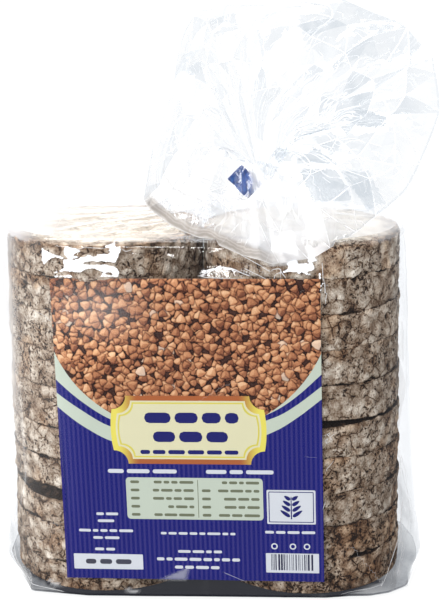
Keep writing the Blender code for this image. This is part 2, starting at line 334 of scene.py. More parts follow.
def cake_material():
    mat, t, out = new_material("puffed_grain")
    cell = node(t, "ShaderNodeAttribute", attribute_name="cell").outputs["Vector"]
    painted_shade = node(t, "ShaderNodeAttribute", attribute_name="painted_shade").outputs["Fac"]
    warm_rim = node(t, "ShaderNodeAttribute", attribute_name="warm").outputs["Fac"]
    pale = node(t, "ShaderNodeAttribute", attribute_name="pale").outputs["Fac"]
    g = grain_pattern(t, cell)

    mottle = node(t, "ShaderNodeTexNoise", {"Vector": g["moved"], "Scale": 185.0, "Detail": 6.0, "Roughness": 0.64})
    fine = node(t, "ShaderNodeTexNoise", {"Vector": cell, "Scale": 1300.0, "Detail": 3.0})
    broad = node(t, "ShaderNodeTexNoise", {"Vector": cell, "Scale": 34.0, "Detail": 3.0})
    lines = node(t, "ShaderNodeTexNoise", {"Vector": cell, "Scale": 170.0, "Detail": 2.0})
    dots = node(t, "ShaderNodeTexNoise", {"Vector": g["moved"], "Scale": 760.0, "Detail": 2.0, "Roughness": 0.55})
    spots = node(t, "ShaderNodeTexNoise", {"Vector": g["moved"], "Scale": 360.0, "Detail": 3.0, "Roughness": 0.6})
    stain = node(t, "ShaderNodeTexNoise", {"Vector": g["moved"], "Scale": 62.0, "Detail": 3.0})

    # brightness, from hull brown at 0 to bare puffed starch at 1
    away = calc(t, "SUBTRACT", 1.0, g["fine_zone"])
    v = calc(t, "MULTIPLY_ADD", calc(t, "SUBTRACT", mottle.outputs["Fac"], 0.5), 1.08, 0.605)
    v = calc(t, "MULTIPLY_ADD", calc(t, "SUBTRACT", fine.outputs["Fac"], 0.5), 0.75, v)
    v = calc(t, "MULTIPLY_ADD", calc(t, "SUBTRACT", broad.outputs["Fac"], 0.5), 0.55, v)
    # each grain is painted lighter in its middle and darker at its edge, a painted highlight and shade, on top of the
    # grain's own random tone
    big_part = calc(t, "MULTIPLY_ADD", calc(t, "SUBTRACT", part_of(t, g["big_rand"], 1), 0.5), 0.26, calc(t, "MULTIPLY_ADD", g["big_dome"], 0.32, -0.175))
    small_part = calc(t, "MULTIPLY_ADD", calc(t, "SUBTRACT", part_of(t, g["small_rand"], 0), 0.5), 0.20, calc(t, "MULTIPLY_ADD", g["small_dome"], 0.22, -0.12))
    v = calc(t, "MULTIPLY_ADD", big_part, away, v)
    v = calc(t, "MULTIPLY_ADD", small_part, calc(t, "MULTIPLY_ADD", g["fine_zone"], 0.80, 0.20), v)
    # broken dark lines between the grains, painted shade in the crevices
    line = step(t, g["big_edge"], 0.070, 0.0)
    line = calc(t, "MULTIPLY", line, step(t, lines.outputs["Fac"], 0.45, 0.59, 0.0, 0.33))
    v = calc(t, "SUBTRACT", v, line)
    # flecks of hull, gathered in clusters
    many = step(t, g["patch"], 0.38, 0.62, 0.70, 0.560, smooth=False)
    many = calc(t, "MULTIPLY_ADD", warm_rim, -0.06, many)
    fleck = step(t, calc(t, "SUBTRACT", dots.outputs["Fac"], many), -0.015, 0.035)
    v = calc(t, "MULTIPLY_ADD", fleck, -0.44, v)
    spot = step(t, spots.outputs["Fac"], 0.60, 0.68, 0.0, 0.34)
    v = calc(t, "SUBTRACT", v, spot)
    # painted shade in hollows, at seams and on hidden faces darkens the colour
    v = calc(t, "MULTIPLY_ADD", painted_shade, -0.50, v)
    toast = step(t, stain.outputs["Fac"], 0.53, 0.68, 0.0, 0.9)
    v = calc(t, "MULTIPLY_ADD", calc(t, "MAXIMUM", toast, warm_rim), -0.07, v)
    # painted light: the top cakes' upper faces are lighter
    bright = calc(t, "MULTIPLY_ADD", pale, 0.12, v, clamp=True)
    base = ramp(t, bright, (
        (0.02, (0.018, 0.009, 0.005)), (0.20, (0.125, 0.072, 0.042)), (0.36, (0.240, 0.172, 0.118)),
        (0.50, (0.360, 0.283, 0.215)), (0.64, (0.480, 0.402, 0.322)), (0.82, (0.650, 0.565, 0.470)),
        (0.98, (0.790, 0.720, 0.630))))
    # toasted, redder patches
    base = mix(t, toast, base, mix(t, 1.0, base, (0.99, 0.84, 0.70), "MULTIPLY"))
    base = mix(t, warm_rim, base, mix(t, 1.0, base, (1.0, 0.82, 0.66), "MULTIPLY"))
    # painted light: the top faces turn creamier
    base = mix(t, calc(t, "MULTIPLY", pale, 0.45), base, (0.80, 0.715, 0.595))

    height = calc(t, "MULTIPLY_ADD", v, 0.75, calc(t, "MULTIPLY", fine.outputs["Fac"], 0.15))
    bump = node(t, "ShaderNodeBump", {"Strength": 0.9, "Distance": 0.0012, "Height": height})
    shader = node(t, "ShaderNodeBsdfPrincipled", {"Roughness": 0.88, "Specular IOR Level": 0.2})
    t.links.new(base, shader.inputs["Base Color"])
    t.links.new(bump.outputs[0], shader.inputs["Normal"])
    t.links.new(shader.outputs[0], out.inputs["Surface"])
    return mat


# hollows at a cake's edge: stack, cake, direction in degrees, half width in
# degrees, how far the underside rises and the top face sinks there
HOLLOWS = (
    ("L", 3, 229.0, 15.0, 0.0, 1.9), ("L", 4, 229.0, 17.0, 1.3, 0.0),
    ("L", 3, 251.0, 9.0, 0.0, 0.8), ("R", 1, 308.0, 13.0, 0.0, 2.0), ("R", 2, 309.0, 12.0, 1.3, 0.0),
    ("R", 10, 231.0, 9.0, 0.0, 1.2), ("R", 5, 258.0, 34.0, 0.0, 1.3), ("R", 5, 268.0, 50.0, 0.0, 0.7), ("R", 6, 264.0, 42.0, 0.9, 0.0), ("L", 10, 285.0, 14.0, 0.0, 0.7),
    ("R", 9, 322.0, 7.0, 0.0, 0.9), ("R", 4, 300.0, 8.0, 0.9, 0.0),
)


def seam_wave(stack, seam, angle):
    """How far a seam between two cakes wanders up and down round the stack."""
    noise = Noise(900 + 40 * (stack == "R") + seam)
    ring = np.stack([np.cos(angle), np.sin(angle), 0 * angle], -1)
    return 0.55 * noise(ring, 3.1) + 0.34 * noise(ring + 7.0, 8.5) + 0.2 * noise(ring + 13.0, 19.0)


def seam_gap(stack, seam, angle):
    """How far the same seam gapes; below zero the two cakes cling together."""
    noise = Noise(1900 + 40 * (stack == "R") + seam)
    ring = np.stack([np.cos(angle), np.sin(angle), 0 * angle], -1)
    rough = noise(ring, 2.3) + 0.55 * noise(ring + 5.0, 7.0) + (0.28 if stack == "L" else 0.0)
    return -1.15 + 1.55 * smoothstep(0.35, 1.0, rough)


def make_cake(name, stack, number, low, high, tilt_x, tilt_y, shift, centre_x, seed, fine_top, fine_low, open_low, open_high, material, relief):
    rng = np.random.default_rng(seed)
    radius = CAKE_R - 0.12 + rng.uniform(-0.16, 0.14)
    thick = high - low
    cols = 384
    edge = 0.5 if fine_top else 0.13
    half = 0.5 * thick
    turn = rng.uniform(0, 2 * math.pi)
    # profile from the middle of the underside round to the middle of the top
    prof = []
    if fine_low:
        for r in [2.0, 6.0] + list(np.arange(10.0, radius - edge - 0.5, 1.6)):
            prof.append((r, -half, 0.0, -1.0))
    else:
        for r in (37.0, 40.0, 42.5, 44.2):
            prof.append((r, -half, 0.0, -1.0))
    for a in (-90, -45):
        c, s = math.cos(math.radians(a)), math.sin(math.radians(a))
        prof.append((radius - edge + edge * c, -half + edge + edge * s, c, s))
    for z in np.linspace(-half + edge, half - edge, max(8, int(round((thick - 2 * edge) / 0.70)))):
        prof.append((radius, z, 1.0, 0.0))
    for a in (45, 90):
        c, s = math.cos(math.radians(a)), math.sin(math.radians(a))
        prof.append((radius - edge + edge * c, half - edge + edge * s, c, s))
    if fine_top:
        rows_in = [2.0, 6.0] + list(np.arange(10.0, radius - edge - 0.5, 1.25))
    else:
        rows_in = [37.0, 40.0, 42.5, 44.2]
    for r in reversed(rows_in):
        prof.append((r, half, 0.0, 1.0))
    prof = np.array(prof)
    ang = 2 * math.pi * (np.arange(cols) / cols)
    ca, sa = np.cos(ang)[None, :], np.sin(ang)[None, :]
    r, z, nr, nz = (prof[:, k][:, None] for k in range(4))
    P = np.stack([r * ca, r * sa, z + 0 * ca], -1)
    N = np.stack([nr * ca, nr * sa, nz + 0 * ca], -1)
    cell = P.copy()
    rows = P.shape[0]

    noise = Noise(seed + 1)
    side = smoothstep(0.2, 0.9, nr + 0 * ca)
    rim_zone = smoothstep(radius - 5.0, radius - 0.5, r)
    h = 0.30 * noise(P, 0.07) + 0.16 * noise(P, 0.4)
    # the pressed rims crumble here and there, and single grains have come out; these hollows are painted darker as
    # shade
    at_edge = smoothstep(half - 1.7, half - 0.1, np.abs(z)) * smoothstep(radius - 3.0, radius - 0.6, r)
    crumble = smoothstep(0.42, 1.05, noise(P, 0.17) + 0.45 * noise(P, 0.55))
    rough = 0.5 + 0.5 * noise(P, 1.1)
    h = h - at_edge * ((1.9 if fine_top else 0.6) * crumble) - at_edge * (0.9 if fine_top else 0.10) * rough
    painted_shade = (0.45 if fine_top else 0.6) * at_edge * smoothstep(0.45, 1.0, crumble)
    # a painted shade line along the seams between cakes
    seam_shade = 0.0 if fine_low or fine_top else 0.30
    painted_shade = np.maximum(painted_shade, seam_shade * smoothstep(half - 0.9, half - 0.1, np.abs(z)) * (nr > 0.1) * (0.6 + 0.4 * noise(P, 0.3)))
    # the lowest cakes are darker, most of all in the right stack
    painted_shade = np.maximum(painted_shade, {("R", 1): 0.19, ("R", 2): 0.17, ("R", 3): 0.12, ("R", 4): 0.08, ("L", 1): 0.16, ("L", 2): 0.10, ("L", 3): 0.05}.get((stack, number), 0.0))
    for _ in range(9):
        a = rng.uniform(0, 2 * math.pi)
        zz = rng.choice((-1, 1)) * (half - rng.uniform(-0.5, 1.6))
        if rng.random() < 0.30:
            zz = rng.uniform(-half, half)
        bite_r = rng.uniform(1.3, 3.2)
        mid = np.array((radius * math.cos(a), radius * math.sin(a), zz))
        d = np.sqrt((((P - mid) * np.array((1, 1, 1.25))) ** 2).sum(-1))
        d = d + 0.7 * noise(P, 0.8)
        dip = np.clip(1 - d / bite_r, 0, 1)
        h = h - 1.0 * bite_r * 0.6 * dip ** 0.7 * (0.35 + 0.65 * side)
        # painted shade in each bite
        painted_shade = np.maximum(painted_shade, 0.95 * smoothstep(0.10, 0.70, dip))
    P = P + N * h[..., None]

    # the faces follow the seams, and sink in at the hollows
    world = ang + turn
    under = seam_wave(stack, number, world) if not (fine_low or open_low) else 0.35 * seam_wave(stack, number + 20, world)
    over = seam_wave(stack, number + 1, world) if not (fine_top or open_high) else 0.35 * seam_wave(stack, number + 30, world)
    if fine_low:
        under = 0 * world
    if fine_top:
        over = 1.1 * seam_wave(stack, number + 30, world) - 0.3
    if not (fine_low or open_low):
        under = under + 0.5 * seam_gap(stack, number, world)
    if not (fine_top or open_high):
        over = over - 0.5 * seam_gap(stack, number + 1, world)
    for hs, hn, deg, wide, rise, sink in HOLLOWS:
        if hs == stack and hn == number:
            off = (np.degrees(world) - deg + 180.0) % 360.0 - 180.0
            dome = np.exp(-(off / wide) ** 4)
            under = under + rise * dome
            over = over - sink * dome
    share = np.clip((z + half) / thick, 0, 1)
    P[..., 2] = P[..., 2] + rim_zone * (under[None, :] * (1 - share) + over[None, :] * share)
    # hidden faces lie in shadow
    hidden = (np.abs(nz) > 0.9) & (r < radius - 0.7)
    if fine_top:
        hidden = hidden & (nz < 0)
    if fine_low:
        hidden = hidden & (nz > 0)
    painted_shade = np.where(hidden + 0 * painted_shade > 0.5, 1.0, painted_shade)

    c, s = math.cos(turn), math.sin(turn)
    spin = np.array([[c, s, 0], [-s, c, 0], [0, 0, 1]])
    ax, ay = math.radians(tilt_x), math.radians(tilt_y)
    rx = np.array([[1, 0, 0], [0, math.cos(ax), -math.sin(ax)], [0, math.sin(ax), math.cos(ax)]])
    ry = np.array([[math.cos(ay), 0, math.sin(ay)], [0, 1, 0], [-math.sin(ay), 0, math.cos(ay)]])
    place = spin @ (ry @ rx).T
    mids = np.array([[0, 0, -half], [0, 0, half]])
    points = np.concatenate([P.reshape(-1, 3), mids]) @ place
    normals = np.concatenate([N.reshape(-1, 3), [[0, 0, -1], [0, 0, 1]]]) @ place
    cells = np.concatenate([cell.reshape(-1, 3), mids]) + rng.uniform(-400, 400, 3)
    points = points + np.array([centre_x + shift[0], shift[1], 0.5 * (low + high)])
    points[:, 2] = np.maximum(points[:, 2], 0.75)

    faces = grid_faces(rows, cols)
    mid_a, mid_b = rows * cols, rows * cols + 1
    faces += [[(j + 1) % cols, j, mid_a] for j in range(cols)]
    top = (rows - 1) * cols
    faces += [[top + j, top + (j + 1) % cols, mid_b] for j in range(cols)]

    mesh = mesh_from(name, points, faces)
    attribute(mesh, "cell", "FLOAT_VECTOR", cells * MM)
    attribute(mesh, "out", "FLOAT_VECTOR", normals)
    amount = np.ones(len(points))
    amount[points[:, 2] < 1.0] = 0.0
    attribute(mesh, "relief", "FLOAT", amount)
    # painted shade: hidden faces, hollows, seams, and the darker lowest cakes
    attribute(mesh, "painted_shade", "FLOAT", np.concatenate([painted_shade.ravel(), [1.0 if not fine_low else 0.0, 0.0 if fine_top else 1.0]]))
    # the rims are browner than the rest, most of all the upper one
    zz = z + 0 * ca
    browned = smoothstep(half - 3.4, half - 0.3, zz) * (0.85 if fine_top else 0.25) * smoothstep(radius - 4.0, radius - 0.5, r)
    browned = browned + 0.15 * smoothstep(-half + 2.0, -half + 0.3, zz) + 0.25 * smoothstep(0.3, 1.0, noise(P, 0.05)) * side
    if stack == "R" and number < 6:
        browned = browned + 0.75 * smoothstep(0.05, 0.6, noise(P, 0.055) + 0.35 * noise(P, 0.2)) * side
    if number == 1:
        browned = browned + 0.45 * smoothstep(0.5 * half, -half, zz) * side
    attribute(mesh, "warm", "FLOAT", np.concatenate([np.clip(browned, 0, 1).ravel(), [0.0, 0.0]]))
    # painted light: the top cakes' upper faces are paler towards the middle, where the tops are brightly lit
    pale = (smoothstep(0.5, 1.0, nz) * smoothstep(radius - 1.0, radius - 13.0, r + 5.0 * noise(P, 0.12) + 2.0 * noise(P, 0.5)) + 0 * ca) * ((1.4 if stack == "R" else 0.8) if fine_top else 0.0)
    attribute(mesh, "pale", "FLOAT", np.concatenate([pale.ravel(), [0.0, 1.0 if fine_top else 0.0]]))
    obj = link(name, mesh, None)
    mod = obj.modifiers.new("relief", "NODES")
    mod.node_group = relief
    bpy.context.view_layer.update()
    done = bpy.data.meshes.new_from_object(obj.evaluated_get(bpy.context.evaluated_depsgraph_get()))
    obj.modifiers.remove(mod)
    obj.data = done
    done.name = name
    done.materials.clear()
    done.materials.append(material)
    done.shade_smooth()
    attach(obj, "root")
    return obj


def make_cakes():
    material = cake_material()
    relief = relief_tree()
    made = []
    for side, table in (("L", LEFT_CAKES), ("R", RIGHT_CAKES)):
        for n, (low, high, tx, ty, sx, sy) in enumerate(table):
            mid = 0.5 * (low + high)
            x = LEFT_X if side == "L" else RIGHT_X + LEAN * (1 - mid / 164.0)
            open_low = n > 0 and low - table[n - 1][1] > 0.4
            open_high = n < 9 and table[n + 1][0] - high > 0.4
            made.append(make_cake(
                f"cake_{side}{n + 1:02d}", side, n + 1, low, high, tx, ty, (0.5 * sx, sy), x,
                100 * (side == "R") + 7 * n + 3, n == 9, n == 0, open_low, open_high, material, relief))
    return made


# ------------------------------------------------------------ the bag's form
def section_at(z):
    """Left and right half width, half depth and corner radius at heights z."""
    z = np.clip(np.asarray(z, float), FILM_SECTIONS[0, 0], FILM_SECTIONS[-1, 0])
    return tuple(np.interp(z, FILM_SECTIONS[:, 0], FILM_SECTIONS[:, k]) for k in range(1, 5))


def front_points(run, z, lift):
    """Points on the bag's front, a distance along it, lifted off its face."""
    left, right, depth, radius = section_at(z)
    straight = np.where(run < 0, left, right) - radius
    over = np.maximum(0.0, np.abs(run) - straight)
    a = over / radius
    x = np.where(over > 0, straight + (radius + lift) * np.sin(a), np.abs(run)) * np.sign(run)
    y = np.where(over > 0, -(depth - radius) - (radius + lift) * np.cos(a), -depth - lift)
    return np.stack([x, y, z + 0 * x], -1)


def label_place(X, Y):
    """Distance along the front and height of a point of the label's sheet."""
    a, u = X / LABEL_W, Y / LABEL_H
    bl, br, tl, tr = LABEL_CORNERS
    run = (bl[0] * (1 - a) + br[0] * a) * (1 - u) + (tl[0] * (1 - a) + tr[0] * a) * u
    z = (bl[1] * (1 - a) + br[1] * a) * (1 - u) + (tl[1] * (1 - a) + tr[1] * a) * u
    return run, z


# ------------------------------------------------------------------- label
INK_BLUE = (0.0042, 0.0062, 0.128)
INK_NAVY = (0.0090, 0.0100, 0.110)
INK_GREEN = (0.435, 0.480, 0.400)
INK_CREAM = (0.580, 0.550, 0.360)
INK_GOLD = (0.540, 0.480, 0.085)
INK_RUST = (0.330, 0.095, 0.030)
INK_OLIVE = (0.130, 0.140, 0.090)
INK_WHITE = (0.535, 0.550, 0.580)
PLAIN, STRIPED, GRAINS, SHADED = 0.0, 0.33, 0.66, 1.0


def rounded(x0, x1, y0, y1, r, steps=3):
    points = []
    for cx, cy, start in ((x1 - r, y1 - r, 0), (x0 + r, y1 - r, 90), (x0 + r, y0 + r, 180), (x1 - r, y0 + r, 270)):
        for k in range(steps + 1):
            a = math.radians(start + 90 * k / steps)
            points.append((cx + r * math.cos(a), cy + r * math.sin(a)))
    return points


def plaque(x0, x1, y0, y1, notch, bulge, inset=0.0):
    """A plaque with hollow corners and softly bowed ends."""
    x0, x1, y0, y1 = x0 + inset, x1 - inset, y0 + inset, y1 - inset
    r = notch
    mid = 0.5 * (y0 + y1)
    points = []

    def arc(cx, cy, start, end):
        for k in range(9):
            a = math.radians(start + (end - start) * k / 8)
            points.append((cx + r * math.cos(a), cy + r * math.sin(a)))

    def end_bow(x, sign, low, high):
        for k in range(1, 8):
            y = low + (high - low) * k / 8
            t = (y - mid) / max(1e-6, abs(high - low) * 0.5)
            points.append((x + sign * bulge * (1 - t * t), y))

    arc(x1, y0, 180, 90)
    end_bow(x1, 1, y0 + r, y1 - r)
    arc(x1, y1, 270, 180)
    arc(x0, y1, 0, -90)
    end_bow(x0, -1, y1 - r, y0 + r)
    arc(x0, y0, 90, 0)
    return points


def leaf(x, y, turn, length, width):
    points = []
    for k in range(14):
        a = 2 * math.pi * k / 14
        u, v = 0.5 * length * math.cos(a), 0.5 * width * math.sin(a) * (1 - 0.35 * math.cos(a))
        c, s = math.cos(turn), math.sin(turn)
        points.append((x + u * c - v * s, y + u * s + v * c))
    return points


def words(rng, x0, x1, y, high, low_word=2.4, high_word=6.5, gap=1.0):
    """A line of plain blocks where a line of print would stand."""
    made = []
    x = x0
    while x < x1 - 0.8 * low_word:
        end = min(x1, x + rng.uniform(low_word, high_word))
        if x1 - end < low_word:
            end = x1
        made.append(rounded(x, end, y - 0.5 * high, y + 0.5 * high, min(0.42 * high, 0.42 * (end - x)), 2))
        x = end + gap
    return made


def label_fields():
    """All fields of the print, lowest first: outline, ink and kind."""
    rng = np.random.default_rng(77)
    W, H = LABEL_W, LABEL_H
    fields = [([(0, 0), (W, 0), (W, H), (0, H)], INK_BLUE, STRIPED)]

    # the picture ends in a wide bow, with two pale bands below it
    bow = [(59 + 64.6 * math.cos(a), 134.6 + 64.6 * math.sin(a))
           for a in np.linspace(math.radians(180 + 24.1), math.radians(360 - 24.1), 41)]
    bow = [(min(max(x, 0.0), W), y) for x, y in bow]
    low_left = [(0.0, 95.2), (10.8, 86.2), (21.5, 78.6), (32.0, 74.2)]
    low_right = [(86.0, 76.4), (93.0, 79.6), (99.9, 83.3), (108.4, 89.7), (W, 98.8)]
    blue_left = [(0.0, 89.0), (10.5, 82.0), (21.3, 75.0), (32.0, 71.4)]
    blue_right = [(86.0, 74.6), (93.0, 77.1), (99.9, 80.0), (108.4, 85.6), (W, 93.3)]
    two_left = [(0.0, 82.4), (10.1, 74.9), (20.9, 68.2), (32.0, 64.4)]
    two_right = [(86.0, 67.6), (93.0, 70.3), (99.7, 73.6), (108.3, 79.5), (W, 87.3)]

    def curve(points, count=26):
        """Smooth curve through a few points, left to right."""
        xs, ys = np.array([p[0] for p in points]), np.array([p[1] for p in points])
        m = np.gradient(ys, xs)
        out = []
        for x in np.linspace(xs[0], xs[-1], count):
            i = min(len(xs) - 2, max(0, int(np.searchsorted(xs, x) - 1)))
            d = xs[i + 1] - xs[i]
            t = (x - xs[i]) / d
            h00, h10 = 2 * t ** 3 - 3 * t ** 2 + 1, t ** 3 - 2 * t ** 2 + t
            h01, h11 = -2 * t ** 3 + 3 * t ** 2, t ** 3 - t ** 2
            out.append((float(x), float(h00 * ys[i] + h10 * d * m[i] + h01 * ys[i + 1] + h11 * d * m[i + 1])))
        return out

    left = curve(low_left)
    right = curve(low_right)
    fields.append(([(0, H)] + [(0.0, left[0][1])] + left + right + [(W, H)], INK_GREEN, PLAIN))
    fields.append(([(0, H)] + bow + [(W, H)], (0.6, 0.25, 0.1), GRAINS))
    fields.append((curve(blue_left) + list(reversed(curve(two_left))), INK_GREEN, PLAIN))
    fields.append((curve(blue_right) + list(reversed(curve(two_right))), INK_GREEN, PLAIN))

    # plaque in the middle
    box = (24.6, 92.4, 56.2, 88.6)
    fields.append((plaque(*box, 6.4, 0.9), INK_RUST, SHADED))
    fields.append((plaque(*box, 6.1, 0.9, 2.3), INK_CREAM, PLAIN))
    fields.append((plaque(*box, 6.0, 0.9, 3.1), INK_GOLD, PLAIN))
    fields.append((plaque(*box, 5.9, 0.9, 3.8), INK_CREAM, PLAIN))
    for block in words(rng, 39.0, 81.0, 78.2, 5.0, 7.0, 13.0, 1.8):
        fields.append((block, INK_NAVY, PLAIN))
    for block in words(rng, 42.5, 76.0, 69.2, 5.0, 8.0, 14.0, 1.8):
        fields.append((block, INK_NAVY, PLAIN))
    for block in words(rng, 36.5, 80.5, 61.9, 2.0, 4.0, 8.5, 1.2):
        fields.append((block, INK_NAVY, PLAIN))
    for x0, x1 in ((21.4, 57.5), (65.6, 96.0)):
        for block in words(rng, x0, x1, 52.6, 1.9, 5.0, 11.0, 1.4):
            fields.append((block, INK_WHITE, PLAIN))

    # two-column table
    fields.append((rounded(29.2, 91.0, 29.4, 49.6, 1.6), INK_GREEN, PLAIN))
    fields.append((rounded(61.5, 61.8, 30.4, 48.6, 0.1, 1), INK_OLIVE, PLAIN))
    for row in range(5):
        y = 47.4 - 3.95 * row
        for x0, x1 in ((31.2, 35.2), (40.5 + rng.uniform(0, 8), 59.8), (63.4, 67.4), (70.5 + rng.uniform(0, 6), 89.4)):
            if row == 0 and x0 in (63.4,):
                continue
            for block in words(rng, x0, x1, y, 1.35, 2.2, 6.0, 0.8):
                fields.append((block, INK_OLIVE, PLAIN))

    # small print
    for x0, x1, y, high in (
            (15.0, 25.0, 31.7, 1.3), (15.5, 23.0, 28.3, 1.3), (6.7, 31.4, 23.5, 1.3), (13.0, 25.0, 20.0, 1.3),
            (13.5, 25.4, 14.4, 1.3), (91.5, 114.3, 23.8, 1.3), (51.5, 71.6, 13.8, 1.3),
            (41.7, 79.7, 10.0, 1.5), (49.8, 72.7, 6.1, 1.5), (44.0, 78.0, 22.6, 1.2)):
        for block in words(rng, x0, x1, y, high, 2.4, 6.0, 0.9):
            fields.append((block, INK_WHITE, PLAIN))
    fields.append((rounded(3.6, 35.3, 4.6, 12.0, 0.3), INK_WHITE, PLAIN))
    for block in words(rng, 9.0, 30.0, 8.3, 2.4, 3.4, 6.0, 1.7):
        fields.append((block, (0.05, 0.05, 0.07), PLAIN))

    # plain sprig in a frame
    fields.append((rounded(92.6, 114.6, 27.8, 44.2, 0.5), INK_WHITE, PLAIN))
    fields.append((rounded(93.4, 113.8, 28.6, 43.4, 0.4), INK_NAVY, PLAIN))
    fields.append((rounded(93.8, 113.4, 29.0, 43.0, 0.3), INK_WHITE, PLAIN))
    fields.append(([(103.3, 30.2), (103.9, 30.2), (103.8, 41.0), (103.4, 41.0)], INK_NAVY, PLAIN))
    for k in range(4):
        y = 32.0 + 2.5 * k
        size = 5.4 - 0.7 * k
        fields.append((leaf(103.7 + 0.5 * size, y + 0.9, math.radians(35), size, 1.7), INK_NAVY, PLAIN))
        fields.append((leaf(103.5 - 0.5 * size, y + 0.9, math.radians(145), size, 1.7), INK_NAVY, PLAIN))
    for x, r in ((95.6, 1.5), (104.0, 1.5), (110.4, 1.5)):
        fields.append((rounded(x - r, x + r, 17.0 - r, 17.0 + r, r - 0.05, 4), INK_WHITE, PLAIN))
        fields.append((rounded(x - 0.6 * r, x + 0.6 * r, 17.0 - 0.6 * r, 17.0 + 0.6 * r, 0.6 * r - 0.05, 4), INK_BLUE, PLAIN))

    # plain upright bars
    fields.append((rounded(91.6, 115.8, 4.2, 13.6, 0.2, 1), INK_WHITE, PLAIN))
    x = 94.0
    while x < 113.4:
        w = rng.choice((0.28, 0.28, 0.55, 0.85))
        fields.append((rounded(x, x + w, 5.4, 13.2, 0.05, 1), (0.02, 0.02, 0.05), PLAIN))
        x += w + rng.choice((0.35, 0.45, 0.75))
    return fields


def grains_layer(t, at, under, cell, radius, offset, light):
    """One layer of loose grains, three-sided and rounded, over what lies under."""
    moved = vec(t, "ADD", at, offset)
    bent = node(t, "ShaderNodeTexNoise", {"Vector": moved, "Scale": 0.33, "Detail": 2.0}, noise_dimensions="2D")
    moved = vec(t, "MULTIPLY_ADD", bent.outputs["Color"], (0.9, 0.9, 0.0), moved)
    v = node(t, "ShaderNodeTexVoronoi", {"Vector": moved, "Scale": 1.0 / cell, "Randomness": 0.92}, voronoi_dimensions="2D")
    rand = v.outputs["Color"]
    d = vec(t, "SUBTRACT", moved, v.outputs["Position"])
    d = vec(t, "MULTIPLY", d, (1.0, 1.0, 0.0))
    angle = calc(t, "MULTIPLY", part_of(t, rand, 0), 6.2832)
    turned = node(t, "ShaderNodeVectorRotate", {"Vector": d, "Angle": angle}, rotation_type="Z_AXIS").outputs[0]
    beam = node(t, "ShaderNodeVectorRotate", {"Vector": light, "Angle": angle}, rotation_type="Z_AXIS").outputs[0]
    sides = [(math.cos(math.radians(a)), math.sin(math.radians(a)), 0.0) for a in (90, 210, 330)]
    e = [vec(t, "DOT_PRODUCT", turned, k) for k in sides]
    lit = [vec(t, "DOT_PRODUCT", beam, k) for k in sides]
    most = calc(t, "MAXIMUM", calc(t, "MAXIMUM", e[0], e[1]), e[2])
    far = vec(t, "LENGTH", turned)
    size = calc(t, "MULTIPLY_ADD", part_of(t, rand, 1), 0.42 * radius, 0.77 * radius)
    sd = calc(t, "SUBTRACT", calc(t, "MULTIPLY_ADD", most, 0.56, calc(t, "MULTIPLY", far, 0.44)), size)
    inside = step(t, sd, 0.07, -0.07)
    # ridges lie off the middle, so that the faces differ in size
    ridge = [calc(t, "ADD", e[k], calc(t, "MULTIPLY", calc(t, "SUBTRACT", part_of(t, rand, (k + 1) % 3), 0.5), 1.6)) for k in range(3)]
    top = calc(t, "MAXIMUM", calc(t, "MAXIMUM", ridge[0], ridge[1]), ridge[2])
    tone = 0.0
    for k in range(3):
        share = step(t, calc(t, "SUBTRACT", ridge[k], top), -0.55, 0.0)
        term = calc(t, "MULTIPLY", share, lit[k])
        tone = term if k == 0 else calc(t, "ADD", tone, term)
    tone = calc(t, "MULTIPLY_ADD", tone, 0.12, 0.53)
    tone = calc(t, "MULTIPLY_ADD", vec(t, "DOT_PRODUCT", d, light), 0.040, tone)
    tone = calc(t, "MULTIPLY_ADD", step(t, sd, -0.50, 0.0), -0.20, tone)
    tone = calc(t, "MULTIPLY_ADD", part_of(t, rand, 2), 0.36, calc(t, "SUBTRACT", tone, 0.18))
    husk = node(t, "ShaderNodeTexNoise", {"Vector": moved, "Scale": 1.6, "Detail": 3.0, "Roughness": 0.6})
    tone = calc(t, "MULTIPLY_ADD", calc(t, "SUBTRACT", husk.outputs["Fac"], 0.5), 0.34, tone)
    colour = ramp(t, tone, (
        (0.05, (0.045, 0.012, 0.007)), (0.30, (0.190, 0.064, 0.030)), (0.52, (0.400, 0.170, 0.078)),
        (0.72, (0.570, 0.300, 0.150)), (0.95, (0.740, 0.500, 0.310))))
    pale = calc(t, "GREATER_THAN", part_of(t, rand, 1), 0.982)
    colour = mix(t, calc(t, "MULTIPLY", pale, 0.45), colour, (0.80, 0.68, 0.54))
    shadow = step(t, sd, 0.70, 0.05, 0.0, 0.80)
    under = mix(t, shadow, under, mix(t, 1.0, under, (0.20, 0.12, 0.10), "MULTIPLY"))
    return mix(t, inside, under, colour)


